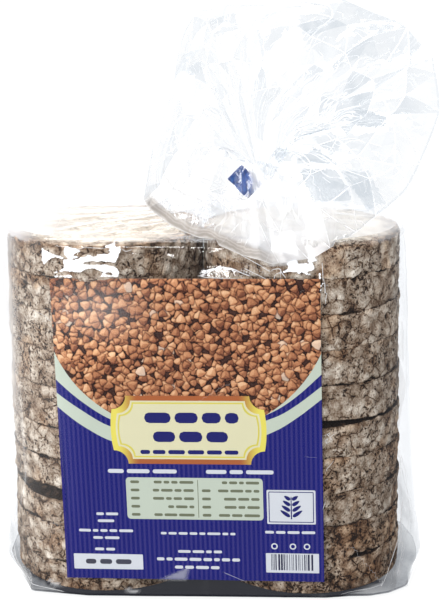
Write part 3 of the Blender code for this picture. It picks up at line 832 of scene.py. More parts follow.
def print_material():
    mat, t, out = new_material("printed_paper")
    at = node(t, "ShaderNodeAttribute", attribute_name="sheet").outputs["Vector"]
    ink_node = node(t, "ShaderNodeAttribute", attribute_name="ink")
    ink, kind = ink_node.outputs["Color"], ink_node.outputs["Alpha"]
    split = node(t, "ShaderNodeSeparateXYZ", {"Vector": at})

    light = (-0.55, 0.83, 0.0)
    grains = None
    low = node(t, "ShaderNodeTexNoise", {"Vector": at, "Scale": 0.5, "Detail": 2.0})
    grains = ramp(t, low.outputs["Fac"], ((0.3, (0.020, 0.008, 0.006)), (0.7, (0.060, 0.022, 0.014))))
    beam = node(t, "ShaderNodeCombineXYZ", {"X": light[0], "Y": light[1], "Z": 0.0}).outputs[0]
    for cell, radius, offset in ((4.2, 1.58, (100.0, 200.0, 0.0)), (4.6, 1.62, (33.0, 871.0, 0.0)),
                                 (5.1, 1.62, (517.0, 39.0, 0.0)), (6.3, 1.62, (290.0, 655.0, 0.0))):
        grains = grains_layer(t, at, grains, cell, radius, offset, beam)

    # painted glare: the picture is lighter towards its upper left
    lit = step(t, vec(t, "LENGTH", vec(t, "SUBTRACT", at, (20.0, 119.0, 0.0))), 27.0, 6.0)
    grains = mix(t, lit, grains, mix(t, 1.0, grains, (1.30, 1.36, 1.36), "MULTIPLY"))

    wave = calc(t, "SINE", calc(t, "MULTIPLY", split.outputs["X"], 2 * math.pi / 2.12))
    stripe = step(t, wave, -0.25, 0.55, 0.0, 1.0)
    striped = mix(t, stripe, ink, mix(t, 1.0, ink, (6.2, 3.7, 1.22), "MULTIPLY"))
    from_mid = calc(t, "ABSOLUTE", calc(t, "SUBTRACT", split.outputs["X"], 58.5))
    gold = step(t, from_mid, 22.0, 33.0)
    shaded = mix(t, gold, ink, (0.640, 0.560, 0.100))

    is_striped = calc(t, "COMPARE", kind, STRIPED, 0.1)
    is_grains = calc(t, "COMPARE", kind, GRAINS, 0.1)
    is_shaded = calc(t, "COMPARE", kind, SHADED, 0.1)
    colour = mix(t, is_striped, ink, striped)
    colour = mix(t, is_shaded, colour, shaded)
    colour = mix(t, is_grains, colour, grains)
    # a trace of uneven ink
    dots = node(t, "ShaderNodeTexNoise", {"Vector": at, "Scale": 3.5, "Detail": 3.0, "Roughness": 0.7})
    uneven = ramp(t, dots.outputs["Fac"], ((0.25, (0.93, 0.93, 0.94)), (0.75, (1.05, 1.05, 1.04))))
    colour = mix(t, 1.0, colour, uneven, "MULTIPLY")
    sag = node(t, "ShaderNodeTexNoise", {"Vector": at, "Scale": 0.045, "Detail": 2.0})
    fibre = node(t, "ShaderNodeTexNoise", {"Vector": at, "Scale": 9.0, "Detail": 2.0})
    height = calc(t, "MULTIPLY_ADD", fibre.outputs["Fac"], 0.015, sag.outputs["Fac"])
    bump = node(t, "ShaderNodeBump", {"Strength": 0.25, "Distance": 0.002, "Height": height})
    shader = node(t, "ShaderNodeBsdfPrincipled", {"Base Color": colour, "Roughness": 0.45, "Specular IOR Level": 0.06, "Normal": bump.outputs[0]})
    t.links.new(shader.outputs[0], out.inputs["Surface"])
    return mat


def make_label():
    """The label as one thin sheet whose front is divided into printed fields."""
    fields = label_fields()
    points, loops = [], []
    for outline, _, _ in fields:
        area = sum(a[0] * b[1] - b[0] * a[1] for a, b in zip(outline, outline[1:] + outline[:1]))
        loops.append(list(range(len(points), len(points) + len(outline))))
        points.extend(Vector(p) for p in (outline if area > 0 else outline[::-1]))
    for y in np.arange(2.5, LABEL_H - 1, 4.0):
        for x in np.arange(2.5, LABEL_W - 1, 4.0):
            points.append(Vector((float(x) + 0.013, float(y) + 0.017)))
    verts, _, faces, _, _, owners = geometry.delaunay_2d_cdt(points, [], loops, 0, 1e-5)
    flat = np.array([(v.x, v.y) for v in verts])
    keep, inks = [], []
    for face, owner in zip(faces, owners):
        if owner:
            top = max(owner)
            keep.append(list(face))
            inks.append((*fields[top][1], fields[top][2]))
    run, z = label_place(flat[:, 0], flat[:, 1])
    noise = Noise(5)
    wave = 0.10 * noise(flat, 0.05) + 0.05 * noise(flat, 0.13)
    edge = np.minimum.reduce([flat[:, 0], LABEL_W - flat[:, 0], flat[:, 1], LABEL_H - flat[:, 1]])
    wave = wave + 0.12
    front = front_points(run, z, LABEL_LIFT + LABEL_THICK + wave)
    rear = front_points(run, z, LABEL_LIFT + wave)
    n = len(flat)
    every = [f for f in keep] + [[i + n for i in reversed(f)] for f in keep]
    paper_and_edge_shade = [(0.78, 0.78, 0.76, PLAIN)] * len(keep)
    # side walls along the sheet's outline, painted dark as a shade line along the label's edge
    count = {}
    for f in keep:
        for a, b in zip(f, f[1:] + f[:1]):
            count[(a, b)] = count.get((a, b), 0) + 1
    for (a, b) in list(count):
        if (b, a) not in count:
            every.append([b, a, a + n, b + n])
            paper_and_edge_shade.append((0.12, 0.08, 0.06, PLAIN))
    mesh = mesh_from("label", np.concatenate([front, rear]), every)
    inks = inks + paper_and_edge_shade
    sizes = [len(p.vertices) for p in mesh.polygons]
    corner = np.repeat(np.array(inks, float), sizes, axis=0)
    attribute(mesh, "ink", "FLOAT_COLOR", corner, "CORNER")
    sheet = np.concatenate([flat, flat])
    attribute(mesh, "sheet", "FLOAT_VECTOR", np.concatenate([sheet, np.zeros((2 * n, 1))], 1))
    obj = link("paper_label", mesh, print_material(), smooth=False)
    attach(obj, "root")
    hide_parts("label")
    return obj


# -------------------------------------------------------------------- film
def facets(width, height, rows, cols, pitch_u, pitch_v, seed, wrap=True):
    """Crumple: random heights at scattered points, flat between them, with
    straight sharp creases. Rows run along the height, columns along the width."""
    rng = np.random.default_rng(seed)
    nu, nv = max(3, int(round(width / pitch_u))), max(2, int(round(height / pitch_v)))
    pts, hs = [], []
    for j in range(-1, nv + 2):
        for i in range(nu):
            x = (i + 0.5 * (j % 2) + rng.uniform(-0.42, 0.42)) * width / nu
            y = (j + rng.uniform(-0.42, 0.42)) * height / nv
            h = rng.uniform(-1, 1)
            pts.append((x, y))
            hs.append(h)
            if wrap:
                for off in (-width, width):
                    if -0.15 * width - 2 * pitch_u < x + off < 1.15 * width + 2 * pitch_u:
                        pts.append((x + off, y))
                        hs.append(h)
    if not wrap:
        for y in np.linspace(-pitch_v, height + pitch_v, nv + 3):
            for x in (-pitch_u, width + pitch_u):
                pts.append((x, float(y)))
                hs.append(rng.uniform(-1, 1))
    hs = np.array(hs)
    verts, _, faces, origin, _, _ = geometry.delaunay_2d_cdt([Vector(p) for p in pts], [], [], 0, 1e-6)
    at = np.array([(v.x, v.y) for v in verts])
    val = np.array([hs[o[0]] if o else 0.0 for o in origin])
    out = np.zeros((rows, cols))
    du = width / (cols if wrap else cols - 1)
    dv = height / (rows - 1)
    for f in faces:
        a, b, c = at[f[0]], at[f[1]], at[f[2]]
        i0 = max(0, int(math.ceil(min(a[0], b[0], c[0]) / du)))
        i1 = min(cols - 1, int(math.floor(max(a[0], b[0], c[0]) / du)))
        j0 = max(0, int(math.ceil(min(a[1], b[1], c[1]) / dv)))
        j1 = min(rows - 1, int(math.floor(max(a[1], b[1], c[1]) / dv)))
        if i1 < i0 or j1 < j0:
            continue
        U, V = np.meshgrid(np.arange(i0, i1 + 1) * du, np.arange(j0, j1 + 1) * dv)
        det = (b[1] - c[1]) * (a[0] - c[0]) + (c[0] - b[0]) * (a[1] - c[1])
        if abs(det) < 1e-9:
            continue
        l0 = ((b[1] - c[1]) * (U - c[0]) + (c[0] - b[0]) * (V - c[1])) / det
        l1 = ((c[1] - a[1]) * (U - c[0]) + (a[0] - c[0]) * (V - c[1])) / det
        l2 = 1 - l0 - l1
        hit = (l0 >= -1e-6) & (l1 >= -1e-6) & (l2 >= -1e-6)
        h = l0 * val[f[0]] + l1 * val[f[1]] + l2 * val[f[2]]
        block = out[j0:j1 + 1, i0:i1 + 1]
        block[hit] = h[hit]
    return out


def creasing(h, du, dv, wrap=True):
    """How sharply the film turns, from its heights on a grid."""
    left, right = (np.roll(h, 1, 1), np.roll(h, -1, 1))
    if not wrap:
        left[:, 0], right[:, -1] = h[:, 0], h[:, -1]
    up, down = np.roll(h, 1, 0), np.roll(h, -1, 0)
    up[0], down[-1] = h[0], h[-1]
    return np.abs(left + right - 2 * h) / du + np.abs(up + down - 2 * h) / dv


def film_material(name, tint, grey, haze_colour, wrinkle=1.0, gloss=0.07, ior=1.45, back_gloss=0.12, most=1.0, lines=False, strokes=False):
    """Thin clear film: see-through, a mirror at grazing angles, milky along
    its creases; its milky layer also carries painted glints, glare and
    reflections, and under the pack painted shade. Larger facets may be a
    shade denser than their neighbours."""
    mat, t, out = new_material(name)
    coord = node(t, "ShaderNodeTexCoord").outputs["Object"]
    crease = node(t, "ShaderNodeAttribute", attribute_name="crease").outputs["Fac"]
    milk_and_painted_light = node(t, "ShaderNodeAttribute", attribute_name="milk_and_painted_light").outputs["Fac"]
    tone = node(t, "ShaderNodeAttribute", attribute_name="tone").outputs["Fac"]

    stretch = node(t, "ShaderNodeMapping", {"Vector": coord, "Scale": (1.0, 1.0, 0.42)})
    big = node(t, "ShaderNodeTexNoise", {"Vector": stretch.outputs[0], "Scale": 62.0, "Detail": 2.0, "Roughness": 0.5}, noise_type="RIDGED_MULTIFRACTAL")
    small = node(t, "ShaderNodeTexNoise", {"Vector": coord, "Scale": 240.0, "Detail": 2.0})
    height = calc(t, "MULTIPLY_ADD", small.outputs["Fac"], 0.25, big.outputs["Fac"])
    bump = node(t, "ShaderNodeBump", {"Strength": 0.30 * wrinkle, "Distance": 0.0012, "Height": height})

    cloudy = node(t, "ShaderNodeTexNoise", {"Vector": coord, "Scale": 95.0, "Detail": 3.0, "Roughness": 0.6})
    shade = calc(t, "MULTIPLY", tone, step(t, cloudy.outputs["Fac"], 0.30, 0.62, 0.70, 1.12), clamp=True)
    if lines:
        # the cut rim; along its front a band painted darker, as shade on the curled edge
        rim = node(t, "ShaderNodeAttribute", attribute_name="rim").outputs["Fac"]
        front = node(t, "ShaderNodeAttribute", attribute_name="front").outputs["Fac"]
        band_reach = calc(t, "MULTIPLY_ADD", cloudy.outputs["Fac"], 3.4, rim)
        shade = calc(t, "MAXIMUM", shade, step(t, rim, 1.6, 0.8, 0.0, 0.45))
        painted_rim_shade = calc(t, "MULTIPLY", step(t, band_reach, 7.4, 5.2), front)
    clear = node(t, "ShaderNodeBsdfTransparent", {"Color": ramp(t, shade, ((0.0, tint), (1.0, grey)))})
    shine = node(t, "ShaderNodeBsdfGlossy", {"Color": (1.0, 1.0, 1.0, 1.0), "Roughness": gloss, "Normal": bump.outputs[0]})
    fresnel = node(t, "ShaderNodeFresnel", {"IOR": ior, "Normal": bump.outputs[0]})
    inner = node(t, "ShaderNodeNewGeometry").outputs["Backfacing"]
    share = calc(t, "MULTIPLY", fresnel.outputs[0], step(t, inner, 0.0, 1.0, 1.0, back_gloss))
    share = calc(t, "MINIMUM", share, most)
    if lines:
        # where the film lies double it is rather matt
        share = calc(t, "MULTIPLY", share, step(t, shade, 0.36, 0.70, 1.0, 0.10))
    body = node(t, "ShaderNodeMixShader", {"Fac": share})
    t.links.new(clear.outputs[0], body.inputs[1])
    t.links.new(shine.outputs[0], body.inputs[2])

    # creases scatter a little light
    streak = node(t, "ShaderNodeTexNoise", {"Vector": coord, "Scale": 150.0, "Detail": 1.0})
    spread = step(t, streak.outputs["Fac"], 0.35, 0.65, 0.35, 1.0)
    amount = calc(t, "MULTIPLY", crease, spread)
    if lines:
        # distance to the facet's three edges, in line widths
        reach = node(t, "ShaderNodeAttribute", attribute_name="reach").outputs["Vector"]
        near = calc(t, "MINIMUM", calc(t, "MINIMUM", part_of(t, reach, 0), part_of(t, reach, 1)), part_of(t, reach, 2))
        # fine folds that run out from the neck
        polar = node(t, "ShaderNodeAttribute", attribute_name="polar").outputs["Vector"]
        spread_at = node(t, "ShaderNodeAttribute", attribute_name="spread").outputs["Fac"]
        bend = node(t, "ShaderNodeTexNoise", {"Vector": coord, "Scale": 60.0, "Detail": 2.0})
        curved = vec(t, "MULTIPLY_ADD", bend.outputs["Color"], (3.2, 0.5, 0.0), polar)
        folds = node(t, "ShaderNodeTexNoise", {"Vector": curved, "Scale": 1.0, "Detail": 2.0, "Roughness": 0.6})
        fold = calc(t, "ABSOLUTE", calc(t, "SUBTRACT", folds.outputs["Fac"], 0.5))
        fold = calc(t, "MULTIPLY", step(t, fold, 0.022, 0.003, 0.0, 0.75), spread_at)
        amount = calc(t, "MAXIMUM", amount, fold)
        line = step(t, near, 1.0, 0.1, 0.0, 1.0)
        line = calc(t, "MULTIPLY", line, step(t, streak.outputs["Fac"], 0.30, 0.60, 0.30, 0.95))
        amount = calc(t, "MAXIMUM", amount, line)
    if strokes:
        # painted highlights along creases, drawn as bright lines
        off = calc(t, "ABSOLUTE", node(t, "ShaderNodeAttribute", attribute_name="signed").outputs["Fac"])
        much = node(t, "ShaderNodeAttribute", attribute_name="stroke").outputs["Fac"]
        amount = calc(t, "MAXIMUM", amount, calc(t, "MULTIPLY", step(t, off, 1.0, 0.2), much))
    # the milky layer, which also holds painted glints, glare and reflections
    amount = calc(t, "MAXIMUM", amount, milk_and_painted_light, clamp=True)
    facing = 0.5
    if strokes:
        # ragged patches of painted glare, drawn white where the film would mirror a lamp
        torn = node(t, "ShaderNodeTexNoise", {"Vector": coord, "Scale": 620.0, "Detail": 3.0, "Roughness": 0.55})
        inside = calc(t, "MULTIPLY_ADD", calc(t, "SUBTRACT", torn.outputs["Fac"], 0.5), 1.7, node(t, "ShaderNodeAttribute", attribute_name="glare").outputs["Fac"])
        lamp = step(t, inside, -0.15, 0.12, 0.0, 0.97)
        amount = calc(t, "MAXIMUM", amount, lamp)
        facing = calc(t, "MULTIPLY_ADD", lamp, -0.5, 0.5)
    milky = node(t, "ShaderNodeBsdfDiffuse", {"Color": (*haze_colour, 1.0)})
    through = node(t, "ShaderNodeBsdfTranslucent", {"Color": (*haze_colour, 1.0)})
    cloud = node(t, "ShaderNodeMixShader", {"Fac": facing})
    t.links.new(milky.outputs[0], cloud.inputs[1])
    t.links.new(through.outputs[0], cloud.inputs[2])
    if lines:
        # streaks along the painted rim band, in the same darker colour
        lane = node(t, "ShaderNodeCombineXYZ", {"X": calc(t, "MULTIPLY_ADD", cloudy.outputs["Fac"], 3.4, calc(t, "MULTIPLY", rim, 0.55)), "Y": 0.0, "Z": 0.0})
        lanes = node(t, "ShaderNodeTexNoise", {"Vector": lane.outputs[0], "Scale": 1.0, "Detail": 2.0, "Roughness": 0.6})
        petal = node(t, "ShaderNodeAttribute", attribute_name="petal").outputs["Fac"]
        faint = calc(t, "MULTIPLY", step(t, lanes.outputs["Fac"], 0.54, 0.38, 0.0, 0.24), petal)
        rim_shade_bsdf = node(t, "ShaderNodeBsdfDiffuse", {"Color": ramp(t, lanes.outputs["Fac"], ((0.38, (0.225, 0.197, 0.173)), (0.56, (0.350, 0.320, 0.293)), (0.72, (0.580, 0.560, 0.540))))})
        seamed = node(t, "ShaderNodeMixShader", {"Fac": calc(t, "MAXIMUM", calc(t, "MULTIPLY", painted_rim_shade, 0.88), faint)})
        t.links.new(body.outputs[0], seamed.inputs[1])
        t.links.new(rim_shade_bsdf.outputs[0], seamed.inputs[2])
        body = seamed
        amount = calc(t, "MULTIPLY", amount, calc(t, "MULTIPLY_ADD", painted_rim_shade, -0.88, 1.0))
        # a painted highlight line along the very edge of the front rim
        amount = calc(t, "MAXIMUM", amount, calc(t, "MULTIPLY", step(t, rim, 0.50, 0.20, 0.0, 0.35), front))
    final = node(t, "ShaderNodeMixShader", {"Fac": amount})
    t.links.new(body.outputs[0], final.inputs[1])
    t.links.new(cloud.outputs[0], final.inputs[2])
    t.links.new(final.outputs[0], out.inputs["Surface"])
    return mat


def film_piece(name, points, faces, crease, milk_and_painted_light, material, tone=None):
    mesh = mesh_from(name, points, faces)
    if tone is not None:
        attribute(mesh, "tone", "FLOAT", np.clip(tone, 0, 1).ravel())
    attribute(mesh, "crease", "FLOAT", np.clip(crease, 0, 1).ravel())
    attribute(mesh, "milk_and_painted_light", "FLOAT", np.clip(milk_and_painted_light, 0, 1).ravel())
    obj = link(name, mesh, material)
    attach(obj, "root")
    return obj


def outline_rings(z, cols):
    """Rings round the bag at heights z: points, outward normals, and the
    distance along the front from its middle, all on an even grid."""
    left, right, depth, radius = (a[:, None] for a in section_at(z))
    yb, xr, xl = depth - radius, right - radius, -(left - radius)
    q = 0.5 * math.pi * radius
    lengths = [yb, q, xr - xl, q, 2 * yb, q, xr - xl, q, yb]
    ends = np.cumsum(np.concatenate([np.broadcast_to(l, yb.shape) for l in lengths], 1), 1)
    total = ends[:, -1:]
    s = (np.arange(cols) / cols)[None, :] * total
    x, y = np.zeros_like(s), np.zeros_like(s)
    nx, ny = np.zeros_like(s), np.zeros_like(s)
    start = 0 * total
    for k in range(9):
        end = ends[:, k:k + 1]
        on = (s >= start - 1e-9) & (s < end + (1.0 if k == 8 else 0.0))
        t = s - start
        if k in (0, 8):
            px, py = right + 0 * t, (t if k == 0 else -yb + t)
            ax, ay = 1 + 0 * t, 0 * t
        elif k == 2:
            px, py, ax, ay = xr - t, depth + 0 * t, 0 * t, 1 + 0 * t
        elif k == 4:
            px, py, ax, ay = -left + 0 * t, yb - t, -1 + 0 * t, 0 * t
        elif k == 6:
            px, py, ax, ay = xl + t, -depth + 0 * t, 0 * t, -1 + 0 * t
        else:
            first = {1: 0.0, 3: 0.5 * math.pi, 5: math.pi, 7: 1.5 * math.pi}[k]
            cx, cy = {1: (xr, yb), 3: (xl, yb), 5: (xl, -yb), 7: (xr, -yb)}[k]
            a = first + t / radius
            px, py, ax, ay = cx + radius * np.cos(a), cy + radius * np.sin(a), np.cos(a), np.sin(a)
        for full, part in ((x, px), (y, py), (nx, ax), (ny, ay)):
            full[on] = np.broadcast_to(part, full.shape)[on]
        start = end
    middle = ends[:, 5:6] - xl
    run = s - middle
    run = np.where(run > 0.5 * total, run - total, run)
    run = np.where(run < -0.5 * total, run + total, run)
    return x, y, nx, ny, run, total


BODY_COLS = 440

# outline of the folded foot on the table, counter-clockwise
FOOT = np.array((
    (103.5, 0.0), (103.0, 16.0), (98.5, 34.0), (86.0, 45.5), (60.0, 48.5), (0.0, 49.0), (-58.0, 48.6), (-78.0, 44.5),
    (-89.0, 31.0), (-93.6, 12.0), (-93.4, -6.0), (-89.9, -17.0), (-84.6, -29.7), (-77.4, -46.2), (-50.8, -50.3),
    (3.1, -49.6), (58.1, -49.0), (69.0, -47.0), (78.0, -46.4), (87.0, -43.0), (95.8, -35.4), (101.4, -14.0)))


def foot_reach(x, y):
    """Share by which a point is moved along its ray to lie on that outline."""
    ring = np.concatenate([FOOT, FOOT[:1]])
    dense = np.concatenate([a + (b - a) * np.linspace(0, 1, 24, endpoint=False)[:, None] for a, b in zip(ring, ring[1:])])
    turn = np.arctan2(dense[:, 1], dense[:, 0] - 4.0)
    order = np.argsort(turn)
    turn, far = turn[order], np.hypot(dense[order, 0] - 4.0, dense[order, 1])
    want = np.interp(np.arctan2(y, x - 4.0), np.concatenate([turn[-1:] - 2 * math.pi, turn, turn[:1] + 2 * math.pi]),
                     np.concatenate([far[-1:], far, far[:1]]))
    return want / np.hypot(x - 4.0, y)


# painted highlights along creases and folds of the front film, drawn as bright
# lines: distance along the front and height of both ends, width, strength
STROKES = (
    (0.8, 151.0, 5.4, 153.6, 0.9, 1.0), (5.4, 153.6, 10.3, 154.9, 1.3, 1.0), (10.3, 154.9, 15.5, 154.2, 1.2, 1.0),
    (15.5, 154.2, 22.3, 151.1, 0.8, 1.0), (0.8, 150.9, 18.0, 150.2, 0.6, 0.85),
    (12.8, 163.3, 27.4, 155.4, 0.55, 0.9), (27.4, 155.2, 31.0, 153.0, 0.8, 0.7),
    (31.8, 154.0, 35.1, 154.5, 0.7, 0.9), (35.1, 154.5, 35.8, 152.7, 0.9, 0.95), (35.8, 152.7, 37.6, 150.4, 0.7, 0.9),
    (35.6, 152.9, 33.2, 151.9, 0.6, 0.8), (33.2, 151.9, 32.6, 149.9, 0.5, 0.8), (20.0, 154.4, 24.4, 152.2, 0.6, 0.8), (24.4, 152.2, 29.2, 149.8, 0.6, 0.8),
    (-53.6, 162.7, -51.1, 162.0, 0.5, 0.8), (-51.1, 162.0, -48.9, 162.9, 0.5, 0.8), (-48.9, 162.9, -40.0, 162.7, 0.45, 0.75),
    (-32.8, 162.4, -30.8, 161.1, 0.5, 0.8), (-30.8, 161.1, -28.6, 162.0, 0.5, 0.8),
    (53.0, 157.0, 53.6, 149.0, 0.6, 0.8), (54.2, 149.0, 54.8, 139.5, 0.75, 0.9), (55.6, 146.0, 54.9, 141.0, 0.5, 0.8),
    (-75.1, 132.4, -68.3, 130.9, 0.5, 0.55), (-68.3, 130.9, -64.8, 128.6, 0.5, 0.7),
    (55.4, 76.1, 59.9, 79.3, 0.45, 0.9), (55.2, 78.6, 58.6, 80.3, 0.4, 0.8), (55.9, 74.6, 59.0, 76.4, 0.4, 0.6),
    (56.6, 62.0, 57.9, 65.7, 0.55, 0.9), (57.0, 63.0, 59.6, 66.4, 0.4, 0.8),
    (55.6, 44.0, 56.5, 47.5, 0.5, 0.8),
    (96.6, 64.7, 102.5, 53.2, 0.45, 0.8), (102.5, 53.2, 105.2, 33.6, 0.45, 0.7), (96.8, 62.0, 98.8, 40.0, 0.5, 0.8),
    (98.8, 40.0, 93.8, 24.0, 1.0, 0.95), (93.8, 24.0, 88.0, 14.0, 0.9, 0.9), (88.0, 14.0, 83.6, 5.0, 0.45, 0.8),
    (105.2, 33.6, 96.0, 14.0, 0.4, 0.6), (99.0, 26.0, 92.0, 8.0, 0.4, 0.6),
    (11.2, 12.8, 20.8, 8.6, 0.5, 0.5), (-83.0, 6.0, -72.0, 3.4, 0.55, 0.85), (-72.0, 3.4, -61.0, 1.8, 0.5, 0.8),
    (-80.5, 9.5, -75.0, 4.6, 0.4, 0.7), (66.0, 2.2, 84.0, 5.8, 0.45, 0.55), (-84.5, 10.0, -90.5, 22.0, 0.4, 0.5),
    (-93.5, 40.0, -92.5, 18.0, 0.45, 0.7), (-92.5, 18.0, -85.5, 6.5, 0.5, 0.9), (-98.0, 22.0, -89.0, 4.0, 0.4, 0.6),
)


# painted highlights on facets of the front film: three corners, strength
GLINTS = (
    ((-18.6, 8.9), (-4.0, 15.6), (-5.6, 8.7), 0.40),
    ((-70.5, 8.2), (-66.0, 4.0), (-60.5, 4.4), 0.55),
    ((-37.0, 3.4), (-31.0, 4.6), (-24.5, 2.4), 0.60),
    ((-92.0, 16.0), (-84.0, 6.0), (-89.0, 4.5), 0.35),
    ((92.0, 21.0), (97.5, 34.0), (97.0, 20.0), 0.30),
    ((88.0, 9.0), (96.0, 15.0), (94.0, 6.0), 0.20),
)

# ragged patches of painted glare above the label: outlines on the front
GLARE = (
    ((-0.8, 151.3), (3.2, 153.7), (9.1, 155.2), (14.4, 154.5), (18.2, 152.3), (13.4, 153.8), (9.0, 154.3), (3.6, 152.9)),
    ((-68.4, 161.7), (-65.6, 160.2), (-62.1, 159.1), (-57.2, 158.3), (-57.5, 157.6), (-62.1, 158.3), (-64.0, 157.1), (-67.4, 154.1), (-67.9, 155.7)),
    ((-57.2, 162.7), (-55.2, 162.9), (-52.7, 162.4), (-50.5, 161.4), (-53.6, 159.5), (-50.5, 158.9), (-52.7, 158.1), (-55.0, 157.6), (-56.4, 158.7), (-57.3, 160.4)),
    ((-57.5, 157.4), (-52.7, 157.8), (-48.9, 158.7), (-46.4, 160.1), (-44.7, 158.5), (-43.0, 159.8), (-40.3, 158.8), (-37.5, 159.0), (-36.1, 156.6), (-38.9, 156.9), (-43.9, 157.0), (-47.8, 157.0), (-48.9, 156.4), (-48.3, 155.5), (-52.7, 154.6), (-57.2, 154.6), (-57.9, 156.4)),
    ((-57.7, 154.9), (-48.3, 155.7), (-43.9, 155.3), (-39.2, 155.6), (-36.1, 154.7), (-34.0, 153.0), (-34.3, 149.9), (-35.5, 150.0), (-36.7, 152.0), (-40.5, 152.4), (-41.9, 152.9), (-44.7, 153.9), (-47.8, 153.9), (-50.0, 152.3), (-52.7, 151.7), (-53.9, 152.4), (-57.7, 152.2), (-60.2, 151.9), (-62.6, 150.2), (-61.8, 151.4), (-58.6, 153.1), (-57.5, 153.4)),
    ((-39.7, 163.8), (-37.5, 164.4), (-35.3, 165.5), (-35.5, 163.8), (-34.7, 162.9), (-32.6, 162.2), (-34.0, 160.0), (-35.4, 156.4), (-38.3, 156.8), (-40.5, 158.8), (-43.2, 159.5), (-41.7, 160.4), (-38.0, 160.1), (-37.5, 161.2), (-38.9, 161.4), (-37.8, 162.7), (-39.7, 162.7)),
    ((-62.1, 149.8), (-55.0, 150.5), (-53.2, 150.1), (-55.2, 149.2), (-58.3, 149.7), (-62.1, 149.2)),
    ((-42.3, 149.9), (-40.5, 152.2), (-39.6, 151.0), (-35.0, 151.0), (-35.1, 150.2), (-40.5, 150.5)),
    ((38.0, 156.7), (39.7, 157.8), (41.9, 158.7), (42.6, 157.6), (42.8, 156.5), (46.9, 156.7), (48.7, 157.3), (49.5, 156.2), (49.9, 153.9), (47.2, 153.2), (44.1, 153.0), (36.5, 153.0), (38.4, 154.2), (38.7, 155.3)),
    ((47.0, 157.7), (47.8, 159.3), (49.8, 159.9), (50.4, 158.9), (51.3, 157.8), (49.5, 157.8), (47.6, 157.1)),
    ((42.3, 153.0), (46.3, 153.3), (48.7, 151.7), (47.2, 151.4), (45.4, 152.4), (42.6, 152.3)),
    ((51.7, 152.3), (52.3, 152.5), (53.5, 148.2), (53.3, 144.7), (52.4, 144.7), (52.6, 148.6)),
)


def polygon_depth(x, y, corners):
    """How far a point lies inside a polygon; below zero outside."""
    nearest = np.full(np.shape(x), 1e9)
    odd = np.zeros(np.shape(x), bool)
    for (ax, ay), (bx, by) in zip(corners, corners[1:] + corners[:1]):
        t = np.clip(((x - ax) * (bx - ax) + (y - ay) * (by - ay)) / ((bx - ax) ** 2 + (by - ay) ** 2), 0, 1)
        nearest = np.minimum(nearest, np.hypot(x - ax - t * (bx - ax), y - ay - t * (by - ay)))
        if ay != by:
            odd = odd ^ (((ay > y) != (by > y)) & (x < (bx - ax) * (y - ay) / (by - ay) + ax))
    return np.where(odd, nearest, -nearest)


